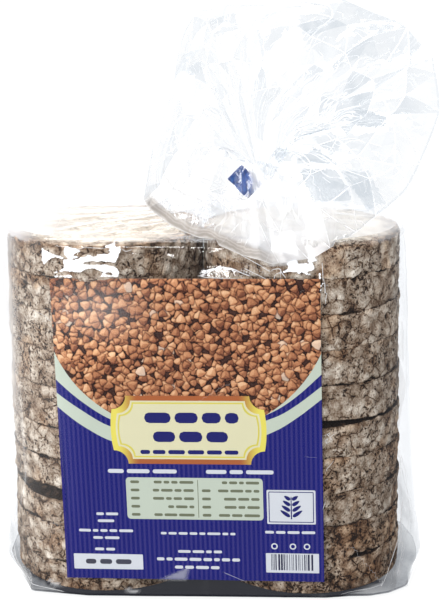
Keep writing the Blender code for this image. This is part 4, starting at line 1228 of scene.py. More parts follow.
def make_body(material):
    z = np.concatenate([np.linspace(0.6, 20, 17)[:-1], np.linspace(20, 140, 84)[:-1], np.linspace(140, 166.1, 54)])
    rows = len(z)
    x, y, nx, ny, run, total = outline_rings(z, BODY_COLS)
    width, height = float(total.mean()), 166.0
    du, dv = width / BODY_COLS, height / rows
    Z = z[:, None] + 0 * x
    ahead = smoothstep(0.2, 0.6, -ny)

    # over the label the film is drawn tight
    inner = (smoothstep(-71.0, -60.0, run) * smoothstep(66.0, 53.5, run)
             * smoothstep(2.0, 9.0, Z) * smoothstep(153.0, 149.2, Z))
    inner = np.where(ny < 0.2, inner, 0.0)
    upper = smoothstep(-76.0, -70.0, run) * smoothstep(60.0, 54.0, run)
    upper = np.where(ny < 0.2, np.clip(upper, 0, 1), 0.0) * smoothstep(149.0, 150.0, Z) * smoothstep(166.0, 156.0, Z)
    coarse = facets(width, height, rows, BODY_COLS, 24, 24, 11)
    middle = facets(width, height, rows, BODY_COLS, 10, 13, 12)
    fine = facets(width, height, rows, BODY_COLS, 4.6, 5.5, 13)
    tall = facets(width, height, rows, BODY_COLS, 9.0, 62, 14)
    top = smoothstep(146.0, 156.0, Z)
    foot = smoothstep(26.0, 6.0, Z)
    side = 1 - smoothstep(0.35, 0.95, np.abs(ny))
    h = (0.75 + 0.9 * side + 0.5 * foot) * coarse + (0.35 + 0.20 * top + 0.35 * foot) * middle
    h = h + (0.14 + 0.10 * top + 0.15 * foot) * fine + (0.45 + 0.85 * side) * tall
    h = h * (1 - 0.93 * inner) * smoothstep(0.0, 2.5, Z)
    h = h * (1 - 0.55 * smoothstep(161.0, 165.5, Z))
    tight = np.maximum(inner, upper)
    h = h * (1 - 0.6 * upper)
    base = 0.35 + 0.95 * tight
    lift = np.clip(base + h, 0.12 + 0.95 * tight, 1.9 + 0.8 * foot)

    # above the label a small fold stands out
    noise = Noise(19)
    spot = np.stack([run, Z], -1)
    lens = smoothstep(0.0, 4.0, run) * smoothstep(23.0, 17.0, run) * smoothstep(155.4, 154.6, Z + 0.02 * (run - 10.5) ** 2)
    fold = lens * ahead * smoothstep(149.6, 150.4, Z)
    lift = lift + fold * np.maximum(0.0, 0.4 + (155.4 - Z) * 0.34)
    lift = np.where(Z > 162.5, np.maximum(lift, 0.5), lift)
    P = np.stack([x + nx * lift, y + ny * lift, Z], -1)
    pull = 1 + (foot_reach(P[..., 0], P[..., 1]) - 1) * smoothstep(13.0, 1.5, Z)
    P[..., 0] = 4.0 + (P[..., 0] - 4.0) * pull
    P[..., 1] = P[..., 1] * pull
    crease = creasing(lift, du, dv)
    crease = 0.34 * smoothstep(0.45, 1.3, crease) * (1 - 0.95 * inner) * (1 - 0.6 * ahead)

    # thin upright folds on both sides, where the film stands off the cakes
    rng = np.random.default_rng(33)
    milk_and_painted_light = 0.0 * Z
    tone = 0.0 * Z
    away = 1 - smoothstep(0.25, 0.62, -ny)
    for _ in range(46):
        col = rng.uniform(0, width)
        low = rng.uniform(-30, 120)
        high = low + rng.uniform(35, 110)
        bend = rng.uniform(-0.03, 0.03)
        here = np.abs((run - (col - 0.5 * width) - bend * (Z - low) + 0.5 * width) % width - 0.5 * width)
        streak = np.exp(-(here / rng.uniform(0.5, 0.9)) ** 2) * smoothstep(low, low + 14, Z) * smoothstep(high, high - 14, Z)
        milk_and_painted_light = np.maximum(milk_and_painted_light, streak * away * rng.uniform(0.05, 0.20))
        tone = np.maximum(tone, streak * away * rng.uniform(0.3, 1.0))
    # a denser patch here and there on the sides
    tone = np.maximum(tone, away * (0.42 + 0.45 * smoothstep(0.25, 0.75, noise(spot, 0.035) + 0.4 * noise(spot, 0.11))))
    # the gathered foot, denser and with folds that flare to the corners
    tone = np.maximum(tone, 0.85 * foot * away * (0.55 + 0.45 * middle))
    tone = tone * (0.45 + 0.27 * smoothstep(40.0, 80.0, run))
    # painted reflection: far left, and along the top rim far left and right, the film is painted milky where it would
    # mirror the bright room
    milk_and_painted_light = np.maximum(milk_and_painted_light, 0.78 * smoothstep(-82.0, -98.0, run) * smoothstep(-132.0, -118.0, run + 5.0 * noise(spot, 0.08)) * smoothstep(50.0, 105.0, Z) * (0.80 + 0.35 * noise(spot, 0.06)))
    milk_and_painted_light = np.maximum(milk_and_painted_light, 0.66 * smoothstep(-66.0, -88.0, run) * smoothstep(-134.0, -118.0, run) * smoothstep(162.6, 164.0, Z + 0.5 * noise(spot, 0.35) + 0.4 * noise(spot, 0.9)))
    milk_and_painted_light = np.maximum(milk_and_painted_light, 0.30 * smoothstep(70.0, 84.0, run) * smoothstep(160.0, 140.0, run) * smoothstep(162.4, 164.0, Z + 0.4 * noise(spot, 0.35) + 0.3 * noise(spot, 0.9)))
    # a milky crumpled stretch over the right stack's front rim
    veil = polygon_depth(run, Z, ((20.0, 167.0), (54.0, 167.0), (50.6, 162.5), (42.0, 158.4), (38.0, 156.5), (33.0, 155.5), (29.0, 157.0), (24.0, 161.0)))
    milk_and_painted_light = np.maximum(milk_and_painted_light, smoothstep(-0.8, 1.2, veil + 0.9 * noise(spot, 0.5)) * (0.60 + 0.24 * noise(spot, 0.9)) * smoothstep(56.0, 36.0, run) * (ny < 0.0))
    # denser corners low down, where the film is folded under
    for mid_run, sign in ((97.0, 1), (-94.0, -1)):
        u = sign * (run - mid_run)
        inner_edge = -1.5 - 0.30 * np.maximum(0.0, 34.0 - Z) + 1.5 * noise(spot, 0.12)
        ear = smoothstep(inner_edge, inner_edge + 1.2, u) * smoothstep(60.0, 22.0, u) * smoothstep(64.0, 50.0, Z)
        tone = np.maximum(tone, ear * (0.62 + 0.36 * facets(width, height, rows, BODY_COLS, 13, 15, 17)) * (1.0 if sign > 0 else 0.30 + 0.70 * smoothstep(34.0, 14.0, Z)))
    # painted soft glare on the label's upper left, and a fainter one above the label's right half
    milk_and_painted_light = milk_and_painted_light + 0.22 * np.exp(-((run + 45.0) / 17.0) ** 2 - ((Z - 136.0) / 12.0) ** 2) * inner
    milk_and_painted_light = milk_and_painted_light + 0.10 * np.exp(-((run - 40.0) / 17.0) ** 2 - ((Z - 158.5) / 3.5) ** 2) * ahead
    # painted bright lines: signed distance to the nearest one, in its half widths
    nearest = np.full(Z.shape, 1e3)
    signed = np.full(Z.shape, 9.0)
    amount = np.zeros(Z.shape)
    for r0, z0, r1, z1, wide, strength in STROKES:
        dx, dz = r1 - r0, z1 - z0
        long_ = math.hypot(dx, dz)
        t = ((run - r0) * dx + (Z - z0) * dz) / (long_ * long_)
        across = ((run - r0) * dz - (Z - z0) * dx) / long_
        d = np.hypot(across, np.maximum(0, np.abs(t - 0.5) - 0.5) * long_)
        closer = (d < nearest) & (ny < 0.0)
        nearest = np.where(closer, d, nearest)
        signed = np.where(closer, across / (0.42 * wide), signed)
        taper = smoothstep(-0.10, 0.12, t) * smoothstep(1.10, 0.88, t)
        amount = np.where(closer, strength * taper, amount)
    for a, b, c, strength in GLINTS:
        det = (b[1] - c[1]) * (a[0] - c[0]) + (c[0] - b[0]) * (a[1] - c[1])
        l0 = ((b[1] - c[1]) * (run - c[0]) + (c[0] - b[0]) * (Z - c[1])) / det
        l1 = ((c[1] - a[1]) * (run - c[0]) + (a[0] - c[0]) * (Z - c[1])) / det
        least = np.minimum(np.minimum(l0, l1), 1 - l0 - l1)
        milk_and_painted_light = np.maximum(milk_and_painted_light, strength * smoothstep(-0.06, 0.16, least) * (ny < 0.0))
    glare = np.full(Z.shape, -9.0)
    for outline in GLARE:
        glare = np.maximum(glare, polygon_depth(run, Z, outline))
    glare = np.where(ny < 0.0, np.clip(glare, -2.0, 2.0), -2.0)
    faces = grid_faces(rows, BODY_COLS)
    body = film_piece("film_body", P.reshape(-1, 3), faces, crease, milk_and_painted_light, material, tone)
    attribute(body.data, "signed", "FLOAT", np.clip(signed, -9, 9).ravel())
    attribute(body.data, "stroke", "FLOAT", amount.ravel())
    attribute(body.data, "glare", "FLOAT", glare.ravel())
    return body, P[-1]


def neck_point(t, along, radius):
    a = 2 * math.pi * t
    up = np.array((math.sin(NECK_LEAN), 0.0, math.cos(NECK_LEAN)))
    side = np.array((math.cos(NECK_LEAN), 0.0, -math.sin(NECK_LEAN)))
    back = np.array((0.0, 1.0, 0.0))
    ca, sa = np.cos(a)[..., None], np.sin(a)[..., None]
    return NECK_LOW + up * np.asarray(along)[..., None] + (side * ca + back * sa) * np.asarray(radius)[..., None]


def pleats(t, count, seed):
    """Heights of the folds that run to the neck, with straight flanks."""
    rng = np.random.default_rng(seed)
    at = np.sort((np.arange(count) + rng.uniform(-0.36, 0.36, count)) / count)
    hs = rng.uniform(0.25, 1.0, count) * np.where(np.arange(count) % 2, -1, 1)
    at = np.concatenate([at[-1:] - 1, at, at[:1] + 1])
    hs = np.concatenate([hs[-1:], hs, hs[:1]])
    return np.interp(t % 1.0, at, hs)


def make_shoulder(top_ring, material):
    share = np.concatenate([np.linspace(0, 0.12, 8)[:-1], np.linspace(0.12, 0.9, 46)[:-1], np.linspace(0.9, 1.0, 9)])
    rows = len(share)
    t = np.arange(BODY_COLS) / BODY_COLS
    T, S = np.meshgrid(t, share)
    neck = neck_point(T, 0 * T, NECK_R * (1 + 0.14 * pleats(T, 30, 40)))
    outer = top_ring[None, :, :]
    P = outer * (1 - S[..., None]) + neck * S[..., None]
    rise = np.interp(S, SHOULDER_RISE[:, 0], SHOULDER_RISE[:, 1])
    start = smoothstep(0.0, 0.06, S)
    # towards the neck the rings take on the neck's lean
    lean = smoothstep(0.86, 1.0, S)
    P[..., 2] = (1 - start) * outer[..., 2] + start * ((1 - lean) * rise + lean * neck[..., 2])
    hump = 4 * S * (1 - S)
    long_ = pleats(T, 38, 41) * 1.5 + pleats(T, 90, 42) * 0.55
    h = long_ * hump * smoothstep(0.02, 0.3, S) * (0.55 + 0.45 * S)
    width = 470.0
    h = h + facets(width, 95.0, rows, BODY_COLS, 17, 16, 43) * 0.75 * hump
    h = h + facets(width, 95.0, rows, BODY_COLS, 6, 9, 44) * 0.22 * hump
    # the film dips into the gap between the stacks
    gap = np.exp(-(P[..., 0] / 9.0) ** 2) * smoothstep(6, 30, np.abs(P[..., 1]))
    h = h - 2.2 * gap * smoothstep(0.0, 0.12, S)
    P[..., 2] = np.maximum(P[..., 2] + h, np.where(S < 0.06, 0, 164.7 - 3.0 * gap))
    crease = creasing(h, 1.1, 1.6)
    crease = 0.75 * smoothstep(0.12, 0.9, crease)
    # the film over the tops: partly its own milkiness, partly painted light, whitest at the back and far left and right
    # where the tops and edges show bright
    milk_and_painted_light = 0.02 + 0.14 * smoothstep(0.25, 0.7, S) * smoothstep(1.0, 0.85, S) + 0.34 * smoothstep(-6.0, 34.0, P[..., 1]) * smoothstep(1.0, 0.6, S)
    milk_and_painted_light = np.maximum(milk_and_painted_light, 0.80 * smoothstep(-54.0, -80.0, P[..., 0]))
    milk_and_painted_light = np.maximum(milk_and_painted_light, 0.46 * smoothstep(56.0, 84.0, P[..., 0]))
    milk_and_painted_light = np.maximum(milk_and_painted_light, (0.40 + 0.16 * smoothstep(-10.0, -34.0, P[..., 1]) * smoothstep(60.0, 28.0, P[..., 0])) * smoothstep(8.0, 30.0, P[..., 0]) * smoothstep(1.0, 0.8, S))
    # creases that run from the rim to the neck
    rng = np.random.default_rng(45)
    for _ in range(92):
        at, swing = rng.random(), rng.uniform(-0.012, 0.012)
        low, high = rng.uniform(-0.1, 0.55), rng.uniform(0.5, 1.1)
        here = np.abs((T - at - swing * (S - low) + 0.5) % 1.0 - 0.5) * 470.0 * (1 - 0.85 * S)
        streak = np.exp(-(here / rng.uniform(0.45, 0.8)) ** 2) * smoothstep(low, low + 0.12, S) * smoothstep(high, high - 0.12, S)
        milk_and_painted_light = np.maximum(milk_and_painted_light, streak * rng.uniform(0.15, 0.55))
    tone = 0.35 * smoothstep(0.1, 0.8, pleats(T, 38, 41)) * hump
    shoulder = film_piece("film_shoulder", P.reshape(-1, 3), grid_faces(rows, BODY_COLS), crease, milk_and_painted_light, material, tone)
    attribute(shoulder.data, "glare", "FLOAT", np.full(P.shape[0] * P.shape[1], -2.0))
    attribute(shoulder.data, "signed", "FLOAT", np.full(P.shape[0] * P.shape[1], 9.0))
    return shoulder


def smooth_loop(table, t, square=0.0):
    """Closed curve through the table's points; square keeps its corners."""
    n = len(table)
    pos = (t % 1.0) * n
    i = np.floor(pos).astype(int) % n
    f = (pos - np.floor(pos))[..., None]
    p0, p1, p2, p3 = (table[(i + k) % n] for k in (-1, 0, 1, 2))
    round_ = 0.5 * (2 * p1 + (p2 - p0) * f + (2 * p0 - 5 * p1 + 4 * p2 - p3) * f * f
                    + (3 * p1 - p0 - 3 * p2 + p3) * f ** 3)
    return round_ * (1 - square) + (p1 * (1 - f) + p2 * f) * square


def tail_points(T, S):
    rim = smooth_loop(TAIL_RIM, T, 0.55)
    rim_turn = np.arctan2(rim[..., 1], rim[..., 0])
    neck_turn = 2 * math.pi * T
    swing = (rim_turn - neck_turn + math.pi) % (2 * math.pi) - math.pi
    turn = neck_turn + swing * np.minimum(1.0, S * 2.5)
    flat = np.hypot(rim[..., 0], rim[..., 1])
    reach = NECK_R + (flat - NECK_R) * S ** 1.15
    slack = np.maximum(0.0, FILM_REACH ** 2 - (rim ** 2).sum(-1))
    arch = TAIL_SLACK * np.sqrt(0.375 * slack)
    up = rim[..., 2] * S + arch * 4 * S * (1 - S)
    flared = TAIL_ROOT + np.stack([reach * np.cos(turn), reach * np.sin(turn), up], -1)
    open_ = smoothstep(0.0, 0.3, S)[..., None]
    gathered = neck_point(T, NECK_LENGTH + 20.0 * S, (NECK_R + 50.0 * S))
    return gathered * (1 - open_) + flared * open_


def scatter(width, height, pitch, rng):
    """Points strewn over a strip, evenly but not in rows."""
    across, up = max(6, int(round(width / pitch))), max(2, int(round(height / pitch)))
    points = []
    for j in range(up + 1):
        free = 0.40 if 0 < j < up else 0.0
        for i in range(across):
            points.append(((i + 0.5 * (j % 2) + rng.uniform(-0.40, 0.40)) * width / across,
                           (j + rng.uniform(-1, 1) * free) * height / up))
    return np.array(points)


def thrice(points, width):
    return np.concatenate([points - (width, 0), points, points + (width, 0)])


def locate(points, corners):
    """For each point, the triangle it lies in and its weights there."""
    a, b, c = corners[:, 0], corners[:, 1], corners[:, 2]
    det = (b[:, 1] - c[:, 1]) * (a[:, 0] - c[:, 0]) + (c[:, 0] - b[:, 0]) * (a[:, 1] - c[:, 1])
    found = np.zeros(len(points), int)
    weights = np.zeros((len(points), 3))
    for start in range(0, len(points), 400):
        p = points[start:start + 400, None, :]
        l0 = ((b[:, 1] - c[:, 1]) * (p[..., 0] - c[:, 0]) + (c[:, 0] - b[:, 0]) * (p[..., 1] - c[:, 1])) / det
        l1 = ((c[:, 1] - a[:, 1]) * (p[..., 0] - c[:, 0]) + (a[:, 0] - c[:, 0]) * (p[..., 1] - c[:, 1])) / det
        least = np.minimum(np.minimum(l0, l1), 1 - l0 - l1)
        best = least.argmax(1)
        rows = np.arange(len(best))
        found[start:start + 400] = best
        weights[start:start + 400] = np.stack([l0[rows, best], l1[rows, best], 1 - l0[rows, best] - l1[rows, best]], -1)
    return found, weights


def hashed(a, b, seed):
    """A repeatable number from 0 to 1 for each pair."""
    v = np.sin(np.asarray(a) * 12.9898 + np.asarray(b) * 78.233 + seed * 37.719) * 43758.5453
    return v - np.floor(v)


def crumple_plan(width, height, pitch, small, seed):
    """Large facets, each cut into small ones, on a strip whose ends meet.
    Gives corners (u, v), height and tone of the facets, and how far each
    corner is from the facet's edges, in widths of the line drawn there."""
    rng = np.random.default_rng(seed)
    base = scatter(width, height, pitch, rng)
    count = len(base)
    level = rng.uniform(-1, 1, count)
    verts, _, tris, origin, _, _ = geometry.delaunay_2d_cdt([Vector(p) for p in thrice(base, width)], [], [], 0, 1e-5)
    at = np.array([(v.x, v.y) for v in verts])
    ids = np.array([o[0] % count for o in origin])
    tris = np.array([list(t) for t in tris])
    corners = at[tris]

    pairs = {}
    for t in tris:
        for i, j in ((t[0], t[1]), (t[1], t[2]), (t[2], t[0])):
            pairs[(min(i, j), max(i, j))] = True
    points = [tuple(p) for p in at]
    edges = []
    for i, j in pairs:
        first = len(points)
        for share in (1 / 3, 2 / 3):
            points.append(tuple(at[i] * (1 - share) + at[j] * share))
        edges += [(int(i), first), (first, first + 1), (first + 1, int(j))]
    minor = scatter(width, height, small, rng)
    where, w = locate(minor, corners)
    tall = np.zeros((len(minor), 3))
    for k in range(3):
        p, q, r = corners[where, k], corners[where, (k + 1) % 3], corners[where, (k + 2) % 3]
        area = np.abs((q[:, 0] - p[:, 0]) * (r[:, 1] - p[:, 1]) - (q[:, 1] - p[:, 1]) * (r[:, 0] - p[:, 0]))
        tall[:, k] = area / np.linalg.norm(r - q, axis=1)
    minor = minor[(w * tall).min(1) > 0.30 * small]
    extra = rng.uniform(-1, 1, len(minor))
    first_minor = len(points)
    points += [tuple(p) for p in thrice(minor, width)]
    verts, _, parts, origin, _, _ = geometry.delaunay_2d_cdt([Vector(p) for p in points], edges, [], 0, 1e-5)
    at2 = np.array([(v.x, v.y) for v in verts])
    own = np.zeros(len(at2))
    for n, o in enumerate(origin):
        if o and o[0] >= first_minor:
            own[n] = extra[(o[0] - first_minor) % len(minor)]
    parts = np.array([list(t) for t in parts])
    mid = at2[parts].mean(1)
    parts = parts[(mid[:, 0] >= 0) & (mid[:, 0] < width)]
    mid = at2[parts].mean(1)
    where, w = locate(at2, corners)
    high = (w * level[ids[tris[where]]]).sum(1)
    facet, _ = locate(mid, corners)
    key = np.sort(ids[tris[facet]], axis=1)
    tone = hashed(key[:, 0] + 3 * key[:, 1], key[:, 2], 1.0)
    tone = np.where(tone < 0.78, np.clip(tone + 0.34 * (rng.random(len(parts)) - 0.5), 0.0, 0.80), tone)

    # edges: those of large facets are drawn more often than small ones
    reach = np.zeros((len(parts), 3, 3))
    for k in range(3):
        p, q, r = at2[parts[:, k]], at2[parts[:, (k + 1) % 3]], at2[parts[:, (k + 2) % 3]]
        area = np.abs((q[:, 0] - p[:, 0]) * (r[:, 1] - p[:, 1]) - (q[:, 1] - p[:, 1]) * (r[:, 0] - p[:, 0]))
        tall = area / np.maximum(1e-6, np.linalg.norm(r - q, axis=1))
        middle = 0.5 * (q + r)
        tri_at, weight = locate(middle, corners)
        major = weight.min(1) < 1e-3
        side = weight.argmin(1)
        one = ids[tris[tri_at, (side + 1) % 3]]
        two = ids[tris[tri_at, (side + 2) % 3]]
        of_major = hashed(np.minimum(one, two), np.maximum(one, two), 2.0)
        of_minor = hashed(np.round((middle[:, 0] % width) * 8), np.round(middle[:, 1] * 8), 3.0)
        drawn = np.where(major, of_major < 0.62, of_minor < 0.10)
        wide = np.where(major, 0.22 + 0.42 * (of_major * 7.0 % 1.0), 0.22)
        reach[:, k, :] = np.where(drawn, 0.0, 9.0)[:, None]
        reach[:, k, k] += tall / wide
    # reach[t, edge, corner]
    return at2, parts, high, own, tone, reach

# larger panes of the tail where the film lies double: density, and outline on
# the upright plane through the neck, as seen from the front
PANES = (
    (1.00, ((42, 193), (51, 199), (62, 191))),
    (0.58, ((44, 189), (60, 189), (68, 175), (50, 174))),
    (0.42, ((63, 188), (75, 189), (83, 174), (75, 170), (68, 181))),
    (0.62, ((61, 215), (67, 218), (82, 213), (82, 209), (74, 208), (67, 210))),
    (0.24, ((41, 263), (77, 263), (91, 253), (100, 238), (91, 235), (72, 241), (59, 234), (45, 247))),
    (0.16, ((-19, 228), (-19, 223), (-11, 226), (6, 238), (3, 244), (-12, 240))),
    (0.35, ((3, 255), (14, 259), (16, 252), (5, 248))),
    (0.24, ((48, 206), (56, 208), (62, 203), (61, 193), (53, 200))),
    (0.14, ((20, 238), (28, 235), (38, 222), (28, 225))),
    (0.06, ((-12, 213), (2, 220), (13, 218), (-7, 203))),
    (0.10, ((28, 223), (31, 222), (33, 219), (28, 220))),
)


def seen_from_front(points):
    """Where points fall on the upright plane through the neck."""
    eye = np.array((30.35, -652.11, 304.92))
    t = -eye[1] / (points[..., 1] - eye[1])
    return eye[0] + (points[..., 0] - eye[0]) * t, eye[2] + (points[..., 2] - eye[2]) * t


def make_tail(material):
    width, height = 426, 100
    at, parts, high, own, tone, reach = crumple_plan(width, height, 16.0, 4.9, 63)
    n = 3
    grid = [(i, j, n - i - j) for i in range(n + 1) for j in range(n + 1 - i)]
    number = {g: k for k, g in enumerate(grid)}
    small = []
    for i in range(n):
        for j in range(n - i):
            small.append(((i + 1, j, n - i - j - 1), (i, j + 1, n - i - j - 1), (i, j, n - i - j)))
            if i + j < n - 1:
                small.append(((i + 1, j, n - i - j - 1), (i + 1, j + 1, n - i - j - 2), (i, j + 1, n - i - j - 1)))
    weights = np.array(grid, float) / n
    uv = np.einsum("gk,tkc->tgc", weights, at[parts])
    hi = np.einsum("gk,tk->tg", weights, high[parts])
    fi = np.einsum("gk,tk->tg", weights, own[parts])
    rc = np.einsum("gk,tek->tge", weights, reach)
    key_u = np.round((uv[..., 0] % width) * 500).astype(int) % (width * 500)
    key_v = np.round(uv[..., 1] * 500).astype(int)
    keys = key_u * 100000 + key_v
    unique, first, inverse = np.unique(keys.ravel(), return_index=True, return_inverse=True)
    U = uv[..., 0].ravel()[first] % width
    V = np.clip(uv[..., 1].ravel()[first], 0, height)
    H, F = hi.ravel()[first], fi.ravel()[first]
    inverse = inverse.reshape(keys.shape)

    faces, tones, reaches = [], [], []
    local = np.array([[number[g] for g in tri] for tri in small])
    tri_all = inverse[:, local].reshape(-1, 3)
    reach_all = rc[:, local].reshape(-1, 3, 3)
    tone_all = np.repeat(tone, len(small))
    good = (tri_all[:, 0] != tri_all[:, 1]) & (tri_all[:, 1] != tri_all[:, 2]) & (tri_all[:, 0] != tri_all[:, 2])
    polar = uv[:, local].reshape(-1, 3, 2)[good]
    tri_all, reach_all, tone_all = tri_all[good], reach_all[good], tone_all[good]

    T, S = U / width, V / height
    P = tail_points(T, S)
    e = 0.004
    N = np.cross(tail_points(T + e, S) - tail_points(T - e, S),
                 tail_points(T, np.minimum(1, S + e)) - tail_points(T, np.maximum(0, S - e)))
    N = N / np.maximum(1e-9, np.linalg.norm(N, axis=-1, keepdims=True))
    folds = pleats(T, 24, 61) * 3.4 * S ** 1.1 * (1 - 0.35 * S) + pleats(T, 60, 62) * 1.0 * S ** 0.7 * (1 - S) ** 0.5
    h = folds + H * 4.2 * smoothstep(0.05, 0.45, S) + F * 0.62 * smoothstep(0.03, 0.35, S)
    P = P + N * (h * smoothstep(0.0, 0.10, S))[..., None]
    low = np.where(np.abs(P[..., 1]) < 46, 166.5, 150.0)
    P[..., 2] = np.maximum(P[..., 2], low)

    # the straight neck, under the tape
    rim = np.nonzero(key_v.ravel()[first] == 0)[0]
    rim = rim[np.argsort(U[rim])]
    ring = neck_point(T[rim], -0.2 + 0 * T[rim], NECK_R * (1 + 0.14 * pleats(T[rim], 30, 40)))
    start = len(P)
    count = len(rim)
    neck = []
    for k in range(count):
        m = (k + 1) % count
        neck.append([start + k, start + m, int(rim[m]), int(rim[k])])
    points = np.concatenate([P, ring])
    mesh = mesh_from("film_tail", points, tri_all.tolist() + neck)

    # a smooth patch in front of the tape
    far_x, far_z = seen_from_front(P)
    window = smoothstep(10.5, 7.0, np.hypot(far_x - 18.2, far_z - 184.0)) * (P[..., 1] < -3.0)
    near_neck = 1 - smoothstep(0.0, 0.16, S)
    milk = smoothstep(186.0, 172.0, far_z) * smoothstep(70.0, 52.0, far_x) * (0.20 + 0.26 * smoothstep(2.0, 20.0, far_x))
    for strength, outline in PANES[:4]:
        milk = milk * (1 - strength * smoothstep(-1.2, 0.4, polygon_depth(far_x, far_z, outline)))
    milk_and_painted_light = 0.012 + 0.03 * near_neck + milk * (P[..., 1] < 0.0) * smoothstep(0.15, 0.35, S)
    milk_and_painted_light = milk_and_painted_light * (1 - 0.95 * window) + 0.5 * smoothstep(20.8, 23.0, far_x + 0.25 * (far_z - 184.0)) * (window > 0.3)
    attribute(mesh, "milk_and_painted_light", "FLOAT", np.concatenate([milk_and_painted_light, np.full(count, 0.14)]))
    attribute(mesh, "crease", "FLOAT", np.zeros(len(points)))
    attribute(mesh, "rim", "FLOAT", np.concatenate([height - V, np.full(count, 99.0)]))
    front = smoothstep(0.528, 0.550, T) * smoothstep(0.78, 0.70, T)
    attribute(mesh, "front", "FLOAT", np.concatenate([front, np.zeros(count)]))
    petal = smoothstep(0.51, 0.55, T) * smoothstep(0.86, 0.76, T) * smoothstep(0.62, 0.84, S)
    attribute(mesh, "petal", "FLOAT", np.concatenate([petal, np.zeros(count)]))
    # a few facets are much denser than the rest
    shade = np.where(tone_all > 0.80, 0.50 + 2.2 * (tone_all - 0.80), np.where(tone_all > 0.42, 0.10 + 0.9 * (tone_all - 0.42), 0.03))
    # the right side, doubled over, is denser
    tm, sm = polar[..., 0].mean(1) / width, polar[..., 1].mean(1) / height
    right = smoothstep(0.80, 0.88, tm) + smoothstep(0.14, 0.04, tm)
    upper = smoothstep(0.02, 0.08, tm) * smoothstep(0.30, 0.22, tm) * smoothstep(0.35, 0.6, sm)
    dense = right * smoothstep(0.22, 0.40, sm) * smoothstep(1.02, 0.80, sm)
    pane_x, pane_z = seen_from_front(P[tri_all].mean(1))
    pane = 0 * pane_x
    for strength, outline in PANES:
        pane = np.maximum(pane, strength * (polygon_depth(pane_x, pane_z, outline) > 0.0))
    shade = np.clip(0.50 * shade * (1 + 0.4 * dense) + 0.05 * dense + 0.03 * upper + pane + 0.03 + 0.14 * smoothstep(38.0, 56.0, pane_x) * smoothstep(98.0, 84.0, pane_x) * smoothstep(168.0, 180.0, pane_z), 0, 1)
    clear = window[tri_all].mean(1)
    shade = shade * (1 - clear)
    reach_all = reach_all + 9.0 * (clear > 0.3)[:, None, None]
    corner = np.concatenate([np.repeat(shade, 3), np.zeros(4 * count)])
    attribute(mesh, "tone", "FLOAT", corner, "CORNER")
    corner = np.concatenate([reach_all.reshape(-1, 3), np.full((4 * count, 3), 9.0)])
    attribute(mesh, "reach", "FLOAT_VECTOR", corner, "CORNER")
    corner = np.concatenate([np.stack([polar[..., 0] / width * 52.0, polar[..., 1] / height * 1.7, 0 * polar[..., 0]], -1).reshape(-1, 3), np.zeros((4 * count, 3))])
    attribute(mesh, "polar", "FLOAT_VECTOR", corner, "CORNER")
    spread = smoothstep(0.03, 0.12, S) * (0.35 + 0.65 * smoothstep(0.95, 0.35, S)) + 0.35 * front * smoothstep(0.3, 0.6, S)
    spread = spread * (1 - 0.85 * window)
    attribute(mesh, "spread", "FLOAT", np.concatenate([spread, np.zeros(count)]))
    obj = link("film_tail", mesh, material)
    mesh.set_sharp_from_angle(angle=math.radians(16))
    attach(obj, "root")
    return obj


def make_base(material):
    """Folded film under the pack, painted near black inside its folds as the shade beneath the stacks; clear at its
    rim.
    """
    cols = 300
    z = np.array((1.2,))
    x, y, nx, ny, run, total = outline_rings(z, cols)
    pull = foot_reach(x, y)
    x, y = 4.0 + (x - 4.0) * pull, y * pull
    share = np.concatenate([[1.0, 0.995, 0.985], np.linspace(0.97, 0.05, 40)])
    rows = len(share)
    S = share[:, None]
    X = x * S
    Y = y * S
    width = 480.0
    h = facets(width, 60.0, rows, cols, 13, 10, 91) * 0.35
    Z = 0.55 + 0.35 * h + 0 * X
    # long folds across the pack's ends and along its middle seam
    Z = Z + 0.5 * np.exp(-(Y / 1.6) ** 2) + 0.25 * np.exp(-((np.abs(X) - 62 + 0.55 * np.abs(Y)) / 1.4) ** 2)
    Z[0] = 1.9 + 0.3 * h[0]
    Z[1] = 0.75
    Z = np.clip(Z, 0.12, 2.4)
    P = np.stack([X, Y, Z], -1)
    mid = np.array([[0.0, 0.0, 0.6]])
    faces = [[b for b in reversed(f)] for f in grid_faces(rows, cols)]
    last = (rows - 1) * cols
    faces += [[last + (j + 1) % cols, last + j, rows * cols] for j in range(cols)]
    # beyond a fold at each front corner the sheet is clear; inside the folds it is painted dark as shade
    noise = Noise(93)
    spot = np.stack([X, Y], -1)
    outside = 0.0 * X
    rest = 0.0 * X
    for ax, ay, bx, by in ((-82.9, -27.6, -64.7, -45.6), (84.3, -31.5, 66.4, -46.3), (-82.9, -27.6, -84.0, 30.0), (84.3, -31.5, 88.0, 30.0)):
        side = ((bx - ax) * (Y - ay) - (by - ay) * (X - ax)) / math.hypot(bx - ax, by - ay)
        side = side * (1 if (ax > 0) == (by < 0) else -1)
        outside = np.maximum(outside, smoothstep(-0.8, 0.8, side + 0.5 * noise(spot, 0.25)))
        rest = np.maximum(rest, smoothstep(1.0, 15.0, side + 2.0 * noise(spot, 0.12)))
    milk_and_painted_light = 0.97 - 0.50 * outside - 0.34 * rest
    crease = creasing(h, 1.5, 2.0) * 0.0
    tone = outside * (0.70 + 0.40 * h / 0.35) * smoothstep(22.0, -12.0, Y)
    points = np.concatenate([P.reshape(-1, 3), mid])
    crease = np.concatenate([crease.ravel(), [0.0]])
    milk_and_painted_light = np.concatenate([milk_and_painted_light.ravel(), [0.9]])
    return film_piece("film_base", points, faces, crease, milk_and_painted_light, material, np.concatenate([tone.ravel(), [0.3]]))


